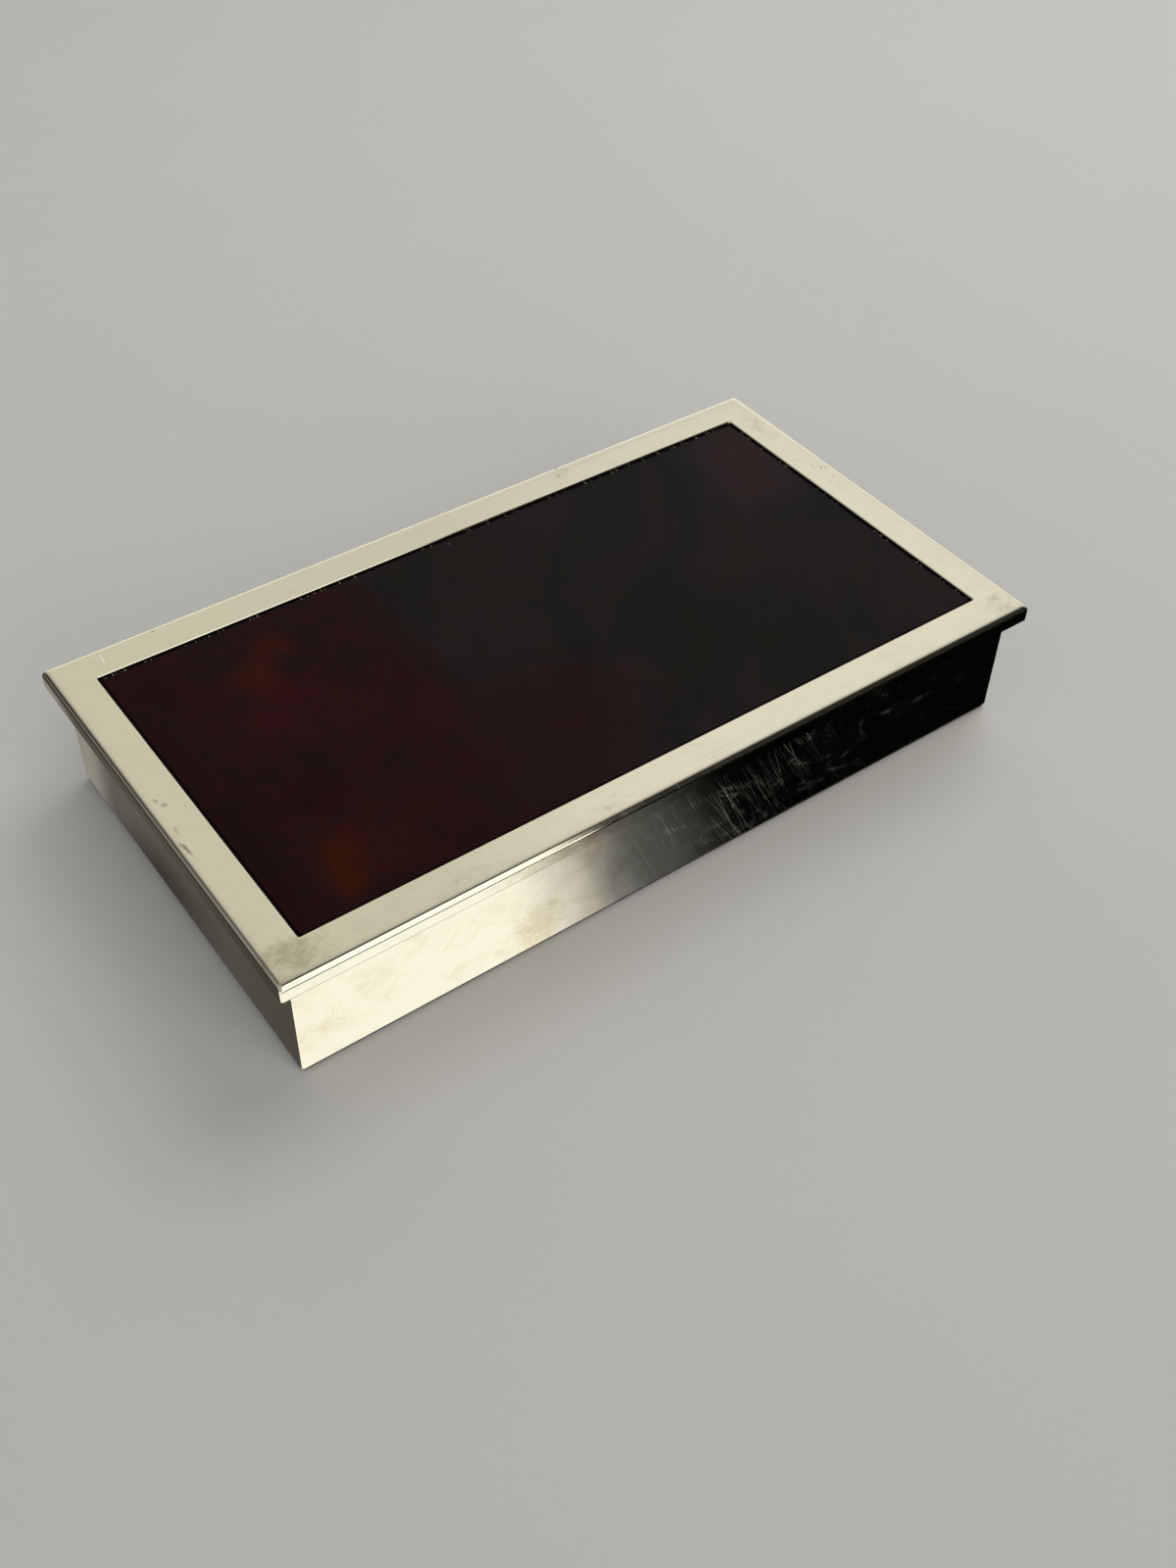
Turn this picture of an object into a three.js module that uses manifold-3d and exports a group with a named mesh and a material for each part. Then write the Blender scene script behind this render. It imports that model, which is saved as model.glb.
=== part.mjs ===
// A vanity box: a nickel-plated case with a wooden lining and an overhanging hinged lid.
// The lid is a plated frame round a tortoiseshell acrylic panel, with a mirror underneath.
// Millimetres, +Z up. The origin is the middle of the underside, and the hinge is at the back, +Y.
import * as THREE from 'three';
import { mergeVertices } from 'three/addons/utils/BufferGeometryUtils.js';
import Module from 'manifold-3d';

const wasm = await Module();
wasm.setup();

// Lid frame: an angle section, a flat plate on top with a lip turned down round the outside
const LID_LENGTH = 240;
const LID_WIDTH = 132;
const LID_THICKNESS = 5.2;
const LID_CORNER = 1;
const LID_TOP_EDGE = 0.9;
const LIP_FOOT_EDGE = 0.3;
const LIP_WALL = 1.4;
const FRAME_WIDTH = 11.2;
const FRAME_PLATE = 1.5;
const WINDOW_CORNER = 0.8;
const WINDOW_EDGE = 0.6;

// Acrylic panel, dropped into the frame's window from above and bedded in black adhesive
const PANEL_THICKNESS = 3;
const PANEL_RECESS = 0.7;
const PANEL_GAP = 0.9;
const PANEL_EDGE = 0.3;
const BEDDING_HEIGHT = 0.5;

// Mirror and the mitred beads that hold it under the lid
const MIRROR_THICKNESS = 2;
const MIRROR_EDGE = 0.4;
const BEAD_WIDTH = 6;
const BEAD_LAP = 2;
const BEAD_FACE = 0.7;
const BEAD_EDGE = 0.5;
const BEAD_CLEARANCE = 1;

// Case: a folded sheet band with an inturned foot, which carries the bottom board
const LID_OVERHANG = 4;
const CASE_HEIGHT = 32.8;
const CASE_SHEET = 1.2;
const CASE_CORNER = 0.8;
const CASE_FOOT = 8;
const CASE_FOOT_EDGE = 0.5;

// Wooden lining, the bottom board and the soft pads
const LINER_THICKNESS = 5;
const LINER_EDGE = 1;
const BOTTOM_BOARD = 4;
const FLOOR_PAD = 2;
const FLOOR_PAD_EDGE = 0.8;
const BASE_PAD = 0.8;
const BASE_PAD_EDGE = 0.3;
const BASE_PAD_INSET = 0.5;

// Continuous hinge under the back of the lip
const HINGE_LENGTH = 204;
const KNUCKLES = 17;
const KNUCKLE_RADIUS = 1.1;
const KNUCKLE_GAP = 0.2;
const NOTCH_CLEARANCE = 0.3;
const BARREL_CLEARANCE = 0.15;
const LEAF_THICKNESS = 0.7;
const LEAF_SETBACK = 0.8;
const PIN_RADIUS = 0.6;
const PIN_CLEARANCE = 0.1;

// Countersunk hinge screws
const SCREWS = 7;
const SCREW_PITCH = 30;
const SCREW_HEAD_RADIUS = 1.45;
const SCREW_SHANK_RADIUS = 0.7;
const SCREW_POINT = 0.6;
const SCREW_CLEARANCE = 0.15;
const SCREW_SLOT_WIDTH = 0.35;
const SCREW_SLOT_DEPTH = 0.3;
const CASE_SCREW_LENGTH = 8;
const LID_SCREW_COVER = 0.9;

// Clearances shared by the pieces
const SEAT_GAP = 0.1;
const FIT_GAP = 0.2;
const JOINT_GAP = 0.3;

// Fineness of the round stretches
const CORNER_STEPS = 6;
const EDGE_STEPS = 4;
const ROUND_SIDES = 24;
const SCREW_SIDES = 12;
const LEAST_RADIUS = 0.1;
const CUT_MARGIN = 1;
const MERGE_DISTANCE = 1e-4;

// Levels, from the table up
const CASE_BOTTOM = BASE_PAD + SEAT_GAP;
const CASE_TOP = CASE_BOTTOM + CASE_HEIGHT;
const LID_BOTTOM = CASE_TOP + JOINT_GAP;
const LID_TOP = LID_BOTTOM + LID_THICKNESS;
const BOARD_BOTTOM = CASE_BOTTOM + CASE_SHEET + SEAT_GAP;
const BOARD_TOP = BOARD_BOTTOM + BOTTOM_BOARD;
const LINING_BOTTOM = BOARD_TOP + SEAT_GAP;
const LINER_HEIGHT = CASE_TOP - LINING_BOTTOM;
const LID_BOARD_THICKNESS = LID_THICKNESS - FRAME_PLATE - SEAT_GAP;
const PANEL_BOTTOM = LID_TOP - PANEL_RECESS - PANEL_THICKNESS;

// Plan sizes, from the lid inwards
const CASE_LENGTH = LID_LENGTH - 2 * LID_OVERHANG;
const CASE_WIDTH = LID_WIDTH - 2 * LID_OVERHANG;
const LINING_LENGTH = CASE_LENGTH - 2 * (CASE_SHEET + SEAT_GAP);
const LINING_WIDTH = CASE_WIDTH - 2 * (CASE_SHEET + SEAT_GAP);
const ROOM_LENGTH = LINING_LENGTH - 2 * LINER_THICKNESS;
const ROOM_WIDTH = LINING_WIDTH - 2 * LINER_THICKNESS;
const BEADS_LENGTH = ROOM_LENGTH - 2 * BEAD_CLEARANCE;
const BEADS_WIDTH = ROOM_WIDTH - 2 * BEAD_CLEARANCE;
const BEAD_THICKNESS = BEAD_FACE + SEAT_GAP + MIRROR_THICKNESS;
const PANEL_LENGTH = LID_LENGTH - 2 * (FRAME_WIDTH + PANEL_GAP);
const PANEL_WIDTH = LID_WIDTH - 2 * (FRAME_WIDTH + PANEL_GAP);

// Hinge line, and where its leaves and screws lie from it
const HINGE_Y = CASE_WIDTH / 2 + KNUCKLE_RADIUS + BARREL_CLEARANCE;
const HINGE_Z = CASE_TOP + JOINT_GAP / 2;
const LINER_INNER_FACE = ROOM_WIDTH / 2 - HINGE_Y;
const LINER_OUTER_FACE = LINING_WIDTH / 2 - HINGE_Y;
const LEAF_FRONT = LINER_INNER_FACE + LEAF_SETBACK;
const LEAF_FACE = JOINT_GAP / 2;
const SCREW_Y = (LEAF_FRONT + LINER_OUTER_FACE) / 2;
const LID_SCREW_LENGTH = LID_BOARD_THICKNESS - LID_SCREW_COVER;

// Finishes
const nickel = { color: 0xcfc9b8, roughness: 0.12, metalness: 1 };
const tortoiseshell = { color: 0x2a0f0a, roughness: 0.06, metalness: 0 };
const wood = { color: 0x5a2e1c, roughness: 0.45, metalness: 0 };
const plywood = { color: 0x9c7a52, roughness: 0.7, metalness: 0 };
const adhesive = { color: 0x0c0a09, roughness: 0.6, metalness: 0 };
const suede = { color: 0x4a2f22, roughness: 0.95, metalness: 0 };
const silvering = { color: 0xdfe4e6, roughness: 0.03, metalness: 1 };
const brass = { color: 0xb08d4f, roughness: 0.3, metalness: 1 };

// A rounded rectangle, anticlockwise, with as many points for every radius so that rings can be joined
function roundedRectangle(length, width, radius) {
  const points = [];
  for (let corner = 0; corner < 4; corner += 1) {
    const side = corner === 0 || corner === 3 ? 1 : -1;
    const end = corner < 2 ? 1 : -1;
    for (let step = 0; step <= CORNER_STEPS; step += 1) {
      const angle = (corner + step / CORNER_STEPS) * (Math.PI / 2);
      points.push([
        side * (length / 2 - radius) + radius * Math.cos(angle),
        end * (width / 2 - radius) + radius * Math.sin(angle),
      ]);
    }
  }
  return points;
}

// The points of a rounded edge in a section, as [inset, height], from one angle to another
function edgeArc(inset, height, radius, from, to) {
  const points = [];
  for (let step = 0; step <= EDGE_STEPS; step += 1) {
    const angle = THREE.MathUtils.degToRad(from + ((to - from) * step) / EDGE_STEPS);
    points.push([inset - radius * Math.cos(angle), height + radius * Math.sin(angle)]);
  }
  return points;
}

// A surface through rings of equal point count, stacked upwards. A frame joins its last ring to its first,
// and a plate is closed by a flat fan at each end.
function loft(rings, isFrame) {
  const count = rings[0].length;
  const positions = rings.flat(2);
  const index = [];
  const spans = isFrame ? rings.length : rings.length - 1;
  for (let ring = 0; ring < spans; ring += 1) {
    const low = ring * count;
    const high = ((ring + 1) % rings.length) * count;
    for (let i = 0; i < count; i += 1) {
      const next = (i + 1) % count;
      index.push(low + i, low + next, high + next, low + i, high + next, high + i);
    }
  }
  if (!isFrame) {
    const first = rings.length * count;
    const top = (rings.length - 1) * count;
    positions.push(0, 0, rings[0][0][2], 0, 0, rings.at(-1)[0][2]);
    for (let i = 0; i < count; i += 1) {
      const next = (i + 1) % count;
      index.push(first, next, i, first + 1, top + i, top + next);
    }
  }
  const geometry = new THREE.BufferGeometry();
  geometry.setAttribute('position', new THREE.Float32BufferAttribute(positions, 3));
  geometry.setIndex(index);
  geometry.computeVertexNormals();
  return geometry;
}

// A section of [inset, height] points carried round a rounded rectangle. The corner radius shrinks with
// the inset, unless the point names its own.
function rings(length, width, corner, section) {
  return section.map(([inset, height, own]) => {
    const radius = own ?? Math.max(corner - inset, LEAST_RADIUS);
    const ring = roundedRectangle(length - 2 * inset, width - 2 * inset, radius);
    return ring.map(([x, y]) => [x, y, height]);
  });
}

// A flat plate standing on z = 0, with its corners rounded in plan and its top edge rounded
function plate(length, width, thickness, corner, edge) {
  const section = [[0, 0], ...edgeArc(edge, thickness - edge, edge, 0, 90)];
  return loft(rings(length, width, corner, section), false);
}

// A straight block, placed by its lowest and highest corners
function block(low, high) {
  const size = high.map((value, axis) => value - low[axis]);
  const middle = high.map((value, axis) => (value + low[axis]) / 2);
  return new THREE.BoxGeometry(...size).translate(...middle);
}

// A round bar along X, with its middle at the origin
function bar(radius, length, sides) {
  return new THREE.CylinderGeometry(radius, radius, length, sides).rotateZ(Math.PI / 2);
}

// A board with a given section of [depth, height], mitred at both ends and lying along X.
// Depth runs inwards from the outer face, whose length is given, so the mitres come from the depth.
function mitredBoard(length, section) {
  const shape = new THREE.Shape(section.map(([depth, height]) => new THREE.Vector2(depth, height)));
  const geometry = new THREE.ExtrudeGeometry(shape, { depth: 1, bevelEnabled: false });
  const place = geometry.getAttribute('position');
  for (let i = 0; i < place.count; i += 1) {
    const depth = place.getX(i);
    const along = (place.getZ(i) - 0.5) * (length - 2 * depth);
    place.setXYZ(i, along, depth, place.getY(i));
  }
  return geometry;
}

// Solids joined and cut
function solidOf(geometry) {
  const bare = geometry.index ? geometry.toNonIndexed() : geometry.clone();
  bare.deleteAttribute('normal');
  bare.deleteAttribute('uv');
  const merged = mergeVertices(bare, MERGE_DISTANCE);
  return new wasm.Manifold(new wasm.Mesh({
    numProp: 3,
    vertProperties: merged.getAttribute('position').array,
    triVerts: new Uint32Array(merged.index.array),
  }));
}

function geometryOf(solid) {
  const { vertProperties, triVerts } = solid.getMesh();
  const geometry = new THREE.BufferGeometry();
  geometry.setAttribute('position', new THREE.BufferAttribute(vertProperties, 3));
  geometry.setIndex(new THREE.BufferAttribute(triVerts, 1));
  geometry.computeVertexNormals();
  return geometry;
}

function cut(geometry, tools) {
  return geometryOf(tools.reduce((solid, tool) => solid.subtract(solidOf(tool)), solidOf(geometry)));
}

function join(geometry, additions) {
  return geometryOf(additions.reduce((solid, added) => solid.add(solidOf(added)), solidOf(geometry)));
}

// Adds a named piece to a group, at a place in the group's own frame
function add(group, name, geometry, finish, place = [0, 0, 0], turn = 0) {
  const mesh = new THREE.Mesh(geometry, new THREE.MeshStandardMaterial(finish));
  mesh.name = name;
  mesh.position.set(...place);
  mesh.rotation.z = turn;
  group.add(mesh);
}

// The barrel's room in whatever moves round the hinge line, which runs along X through the origin
function barrelRoom() {
  return bar(KNUCKLE_RADIUS + BARREL_CLEARANCE, HINGE_LENGTH + 2 * NOTCH_CLEARANCE, ROUND_SIDES);
}

// Where the screws stand along the hinge
const screwPlaces = Array.from({ length: SCREWS }, (_, i) => (i - (SCREWS - 1) / 2) * SCREW_PITCH);

// A countersunk screw with its head's face at the origin and its point down, grown all over by a clearance
function screwShape(length, grown) {
  const head = SCREW_HEAD_RADIUS + grown;
  const shank = SCREW_SHANK_RADIUS + grown;
  const tip = -length - grown;
  const profile = [
    new THREE.Vector2(0, tip),
    new THREE.Vector2(shank, tip + SCREW_POINT),
    new THREE.Vector2(shank, -LEAF_THICKNESS),
    new THREE.Vector2(head, 0),
    new THREE.Vector2(0, 0),
  ];
  return new THREE.LatheGeometry(profile, SCREW_SIDES).rotateX(Math.PI / 2);
}

function screw(length) {
  const reach = SCREW_HEAD_RADIUS + CUT_MARGIN;
  const half = SCREW_SLOT_WIDTH / 2;
  const slot = block([-reach, -half, -SCREW_SLOT_DEPTH], [reach, half, CUT_MARGIN]);
  return cut(screwShape(length, 0), [slot]);
}

// The holes for one leaf's screws, at the leaf's face and pointing away from the other leaf
function screwHoles(length, isLid) {
  return screwPlaces.map((x) => {
    const hole = screwShape(length, SCREW_CLEARANCE);
    if (isLid) hole.rotateX(Math.PI);
    return hole.translate(x, SCREW_Y, isLid ? LEAF_FACE : -LEAF_FACE);
  });
}

// One leaf of the hinge with its own knuckles, about the hinge line. The lid's leaf faces the case's.
function hingeLeaf(isLid) {
  const face = isLid ? LEAF_FACE : -LEAF_FACE - LEAF_THICKNESS;
  const half = HINGE_LENGTH / 2;
  const pitch = HINGE_LENGTH / KNUCKLES;
  const room = KNUCKLE_RADIUS + CUT_MARGIN;
  const notches = [];
  for (let slot = 0; slot < KNUCKLES; slot += 1) {
    const isLidSlot = slot % 2 === 1;
    if (isLidSlot !== isLid) {
      const start = slot * pitch - half - KNUCKLE_GAP / 2;
      const end = (slot + 1) * pitch - half + KNUCKLE_GAP / 2;
      notches.push(block([start, -KNUCKLE_RADIUS - NOTCH_CLEARANCE, -room], [end, room, room]));
    }
  }
  const flat = block([-half, LEAF_FRONT, face], [half, 0, face + LEAF_THICKNESS]);
  const leaf = join(flat, [bar(KNUCKLE_RADIUS, HINGE_LENGTH, ROUND_SIDES)]);
  const bore = bar(PIN_RADIUS + PIN_CLEARANCE, HINGE_LENGTH + 2 * CUT_MARGIN, ROUND_SIDES);
  const holes = screwHoles(isLid ? LID_SCREW_LENGTH : CASE_SCREW_LENGTH, isLid);
  return cut(leaf, [bore, ...notches, ...holes]);
}

// The room for a leaf in the wood that it is let into, about the hinge line
function leafMortise(isLid) {
  const half = HINGE_LENGTH / 2 + FIT_GAP;
  const front = LEAF_FRONT - FIT_GAP;
  const depth = LEAF_FACE + LEAF_THICKNESS + SEAT_GAP;
  return isLid
    ? block([-half, front, -CUT_MARGIN], [half, CUT_MARGIN, depth])
    : block([-half, front, -depth], [half, CUT_MARGIN, CUT_MARGIN]);
}

// The case's pieces
function caseBand() {
  const section = [
    ...edgeArc(CASE_FOOT_EDGE, CASE_FOOT_EDGE, CASE_FOOT_EDGE, -90, 0),
    [0, CASE_HEIGHT],
    [CASE_SHEET, CASE_HEIGHT],
    [CASE_SHEET, CASE_SHEET],
    [CASE_FOOT, CASE_SHEET],
    [CASE_FOOT, 0],
  ];
  const band = loft(rings(CASE_LENGTH, CASE_WIDTH, CASE_CORNER, section), true);
  const notch = leafMortise(false).translate(0, HINGE_Y, HINGE_Z - CASE_BOTTOM);
  return cut(band, [notch]);
}

function linerSection() {
  const corner = edgeArc(LINER_THICKNESS - LINER_EDGE, LINER_HEIGHT - LINER_EDGE, LINER_EDGE, 180, 90);
  return [[0, 0], [LINER_THICKNESS, 0], ...corner, [0, LINER_HEIGHT]];
}

function liner(length) {
  return mitredBoard(length - 2 * SEAT_GAP, linerSection());
}

function backLiner() {
  const toBoard = (tool) => tool.translate(0, HINGE_Y, HINGE_Z - LINING_BOTTOM)
    .rotateZ(Math.PI).translate(0, LINING_WIDTH / 2, 0);
  const tools = [leafMortise(false), ...screwHoles(CASE_SCREW_LENGTH, false)];
  return cut(liner(LINING_LENGTH), tools.map(toBoard));
}

function buildCase() {
  const group = new THREE.Group();
  const padLength = CASE_LENGTH - 2 * BASE_PAD_INSET;
  const padWidth = CASE_WIDTH - 2 * BASE_PAD_INSET;
  const boardLength = LINING_LENGTH - 2 * SEAT_GAP;
  const boardWidth = LINING_WIDTH - 2 * SEAT_GAP;
  const floorLength = ROOM_LENGTH - 2 * FIT_GAP;
  const floorWidth = ROOM_WIDTH - 2 * FIT_GAP;
  const basePad = plate(padLength, padWidth, BASE_PAD, CASE_CORNER, BASE_PAD_EDGE);
  const half = [boardLength / 2, boardWidth / 2];
  const board = block([-half[0], -half[1], 0], [...half, BOTTOM_BOARD]);
  const floorPad = plate(floorLength, floorWidth, FLOOR_PAD, FLOOR_PAD_EDGE, FLOOR_PAD_EDGE);
  add(group, 'base_pad', basePad, suede);
  add(group, 'case_band', caseBand(), nickel, [0, 0, CASE_BOTTOM]);
  add(group, 'bottom_board', board, plywood, [0, 0, BOARD_BOTTOM]);
  add(group, 'floor_pad', floorPad, suede, [0, 0, LINING_BOTTOM]);
  const long = liner(LINING_LENGTH);
  const short = liner(LINING_WIDTH);
  add(group, 'liner_front', long, wood, [0, -LINING_WIDTH / 2, LINING_BOTTOM]);
  add(group, 'liner_right', short, wood, [LINING_LENGTH / 2, 0, LINING_BOTTOM], Math.PI / 2);
  add(group, 'liner_back', backLiner(), wood, [0, LINING_WIDTH / 2, LINING_BOTTOM], Math.PI);
  add(group, 'liner_left', short, wood, [-LINING_LENGTH / 2, 0, LINING_BOTTOM], -Math.PI / 2);
  const hinge = new THREE.Group();
  hinge.position.set(0, HINGE_Y, HINGE_Z);
  add(hinge, 'case_hinge_leaf', hingeLeaf(false), brass);
  add(hinge, 'hinge_pin', bar(PIN_RADIUS, HINGE_LENGTH, ROUND_SIDES), brass);
  screwPlaces.forEach((x, i) => {
    add(hinge, `case_hinge_screw_${i + 1}`, screw(CASE_SCREW_LENGTH), brass, [x, SCREW_Y, -LEAF_FACE]);
  });
  group.add(hinge);
  return group;
}

// The lid's pieces, whose heights are from the lid's underside unless the hinge line is named
function lidFrame() {
  const under = LID_THICKNESS - FRAME_PLATE;
  const windowEdge = edgeArc(FRAME_WIDTH - WINDOW_EDGE, LID_THICKNESS - WINDOW_EDGE, WINDOW_EDGE, 90, 180);
  const window = [...windowEdge, [FRAME_WIDTH, under]];
  const section = [
    ...edgeArc(LIP_FOOT_EDGE, LIP_FOOT_EDGE, LIP_FOOT_EDGE, -90, 0),
    ...edgeArc(LID_TOP_EDGE, LID_THICKNESS - LID_TOP_EDGE, LID_TOP_EDGE, 0, 90),
    ...window.map(([inset, height]) => [inset, height, WINDOW_CORNER + FRAME_WIDTH - inset]),
    [LIP_WALL, under],
    [LIP_WALL, 0],
  ];
  const frame = loft(rings(LID_LENGTH, LID_WIDTH, LID_CORNER, section), true);
  return cut(frame, [barrelRoom().translate(0, HINGE_Y, HINGE_Z - LID_BOTTOM)]);
}

function lidBoard() {
  const length = LID_LENGTH - 2 * (LIP_WALL + FIT_GAP);
  const width = LID_WIDTH - 2 * (LIP_WALL + FIT_GAP);
  const board = block([-length / 2, -width / 2, 0], [length / 2, width / 2, LID_BOARD_THICKNESS]);
  const pocketLength = PANEL_LENGTH / 2 + FIT_GAP;
  const pocketWidth = PANEL_WIDTH / 2 + FIT_GAP;
  const pocketFloor = PANEL_BOTTOM - SEAT_GAP - LID_BOTTOM;
  const pocket = block(
    [-pocketLength, -pocketWidth, pocketFloor],
    [pocketLength, pocketWidth, LID_THICKNESS + CUT_MARGIN],
  );
  const rebateEnd = HINGE_LENGTH / 2 + NOTCH_CLEARANCE;
  const rebateDepth = KNUCKLE_RADIUS + NOTCH_CLEARANCE;
  const rebate = block([-rebateEnd, -rebateDepth, -CUT_MARGIN], [rebateEnd, LID_OVERHANG, rebateDepth]);
  const hingeTools = [rebate, leafMortise(true), ...screwHoles(LID_SCREW_LENGTH, true)];
  const toBoard = (tool) => tool.translate(0, HINGE_Y, HINGE_Z - LID_BOTTOM);
  return cut(board, [pocket, ...hingeTools.map(toBoard)]);
}

// The adhesive's bead, which fills the foot of the gap between the panel and the window
function panelBedding() {
  const width = PANEL_GAP - FIT_GAP - SEAT_GAP;
  const section = [[0, 0], [0, BEDDING_HEIGHT], [width, BEDDING_HEIGHT], [width, 0]];
  const inset = 2 * (FRAME_WIDTH + SEAT_GAP);
  return loft(rings(LID_LENGTH - inset, LID_WIDTH - inset, WINDOW_CORNER, section), true);
}

// A bead has its flat outer side against the board, and its lap under the mirror's edge
function bead(length) {
  const hold = BEAD_WIDTH - BEAD_LAP;
  const rounded = edgeArc(BEAD_WIDTH - BEAD_EDGE, BEAD_EDGE, BEAD_EDGE, 270, 180);
  const section = [
    [0, 0],
    ...rounded,
    [BEAD_WIDTH, BEAD_FACE],
    [hold, BEAD_FACE],
    [hold, BEAD_THICKNESS],
    [0, BEAD_THICKNESS],
  ];
  return mitredBoard(length - 2 * SEAT_GAP, section);
}

function buildLid() {
  const group = new THREE.Group();
  const boards = new THREE.Group();
  group.position.set(0, HINGE_Y, HINGE_Z);
  boards.position.set(0, -HINGE_Y, LID_BOTTOM - HINGE_Z);
  const panel = plate(PANEL_LENGTH, PANEL_WIDTH, PANEL_THICKNESS, WINDOW_CORNER, PANEL_EDGE);
  add(boards, 'lid_frame', lidFrame(), nickel);
  add(boards, 'tortoiseshell_panel', panel, tortoiseshell, [0, 0, PANEL_BOTTOM - LID_BOTTOM]);
  add(boards, 'panel_bedding', panelBedding(), adhesive, [0, 0, LID_BOARD_THICKNESS + SEAT_GAP]);
  add(boards, 'lid_board', lidBoard(), wood);
  const mirrorLength = BEADS_LENGTH - 2 * (BEAD_WIDTH - BEAD_LAP + FIT_GAP);
  const mirrorWidth = BEADS_WIDTH - 2 * (BEAD_WIDTH - BEAD_LAP + FIT_GAP);
  const mirror = plate(mirrorLength, mirrorWidth, MIRROR_THICKNESS, MIRROR_EDGE, MIRROR_EDGE);
  add(boards, 'lid_mirror', mirror.rotateX(Math.PI), silvering, [0, 0, -SEAT_GAP / 2]);
  const level = -BEAD_THICKNESS - SEAT_GAP;
  const long = bead(BEADS_LENGTH);
  const short = bead(BEADS_WIDTH);
  add(boards, 'mirror_bead_front', long, wood, [0, -BEADS_WIDTH / 2, level]);
  add(boards, 'mirror_bead_right', short, wood, [BEADS_LENGTH / 2, 0, level], Math.PI / 2);
  add(boards, 'mirror_bead_back', long, wood, [0, BEADS_WIDTH / 2, level], Math.PI);
  add(boards, 'mirror_bead_left', short, wood, [-BEADS_LENGTH / 2, 0, level], -Math.PI / 2);
  group.add(boards);
  add(group, 'lid_hinge_leaf', hingeLeaf(true), brass);
  screwPlaces.forEach((x, i) => {
    const upward = screw(LID_SCREW_LENGTH).rotateX(Math.PI);
    add(group, `lid_hinge_screw_${i + 1}`, upward, brass, [x, SCREW_Y, LEAF_FACE]);
  });
  return group;
}

const vanityBox = new THREE.Group();
vanityBox.add(buildCase(), buildLid());

export default vanityBox;
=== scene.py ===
"""Looks of a vanity box: a nickel-plated case with an overhanging lid, dressed round its solids.

Settings hold the sizes and colours, each piece or group of like pieces has its operator, and a
panel in the sidebar lists them. Lengths are in metres, in the frame of the solids, unless they say
otherwise.
"""

import math
import random
from contextlib import contextmanager
from functools import reduce

import bmesh
import bpy
from bpy.props import FloatProperty, FloatVectorProperty, IntProperty, PointerProperty
from mathutils import Matrix, Vector


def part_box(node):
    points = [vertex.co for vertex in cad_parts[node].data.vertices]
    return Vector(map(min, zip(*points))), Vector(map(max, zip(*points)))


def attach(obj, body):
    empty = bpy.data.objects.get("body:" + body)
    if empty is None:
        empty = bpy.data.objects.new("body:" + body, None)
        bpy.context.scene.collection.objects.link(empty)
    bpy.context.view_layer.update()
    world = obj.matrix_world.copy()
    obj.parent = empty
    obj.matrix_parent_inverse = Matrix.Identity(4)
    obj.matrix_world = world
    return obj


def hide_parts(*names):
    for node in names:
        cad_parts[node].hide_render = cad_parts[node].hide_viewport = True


bl_info = {
    "name": "Vanity box",
    "version": (1, 0, 0),
    "blender": (4, 5, 0),
    "location": "3D View > Sidebar > Vanity box",
    "description": "Models and finishes a plated vanity box with a tortoiseshell lid",
    "category": "Object",
}

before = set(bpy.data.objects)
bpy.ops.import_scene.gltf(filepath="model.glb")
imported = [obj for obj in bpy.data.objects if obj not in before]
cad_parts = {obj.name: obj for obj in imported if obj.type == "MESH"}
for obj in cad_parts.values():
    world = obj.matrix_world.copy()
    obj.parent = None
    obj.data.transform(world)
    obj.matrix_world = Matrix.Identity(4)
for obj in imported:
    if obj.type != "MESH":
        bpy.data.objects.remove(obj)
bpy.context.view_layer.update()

# Millimetres in a metre, because the finishes count in millimetres
MM = 1000

# How near counts as touching, and as the same place, in metres
NEAR = 1e-5
SAME = 1e-6

# Heights of the lower and the upper side of the cards that only reflections see
CARD_SIDES = (0.0002, 0.0004)

LINERS = ("liner_front", "liner_right", "liner_back", "liner_left")
BEADS = ("mirror_bead_front", "mirror_bead_right", "mirror_bead_back", "mirror_bead_left")
LEAVES = ("case_hinge_leaf", "lid_hinge_leaf")
SCREWS = tuple(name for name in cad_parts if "_hinge_screw_" in name)


# Settings


def length(name, description, metres):
    return FloatProperty(
        name=name,
        description=description,
        default=metres,
        min=0,
        precision=5,
        subtype="DISTANCE",
        unit="LENGTH",
    )


def count(name, description, number):
    return IntProperty(name=name, description=description, default=number, min=0, max=300)


def colour(name, description, red, green, blue):
    return FloatVectorProperty(
        name=name,
        description=description,
        default=(red, green, blue),
        min=0,
        max=2,
        size=3,
        subtype="COLOR",
    )


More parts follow.
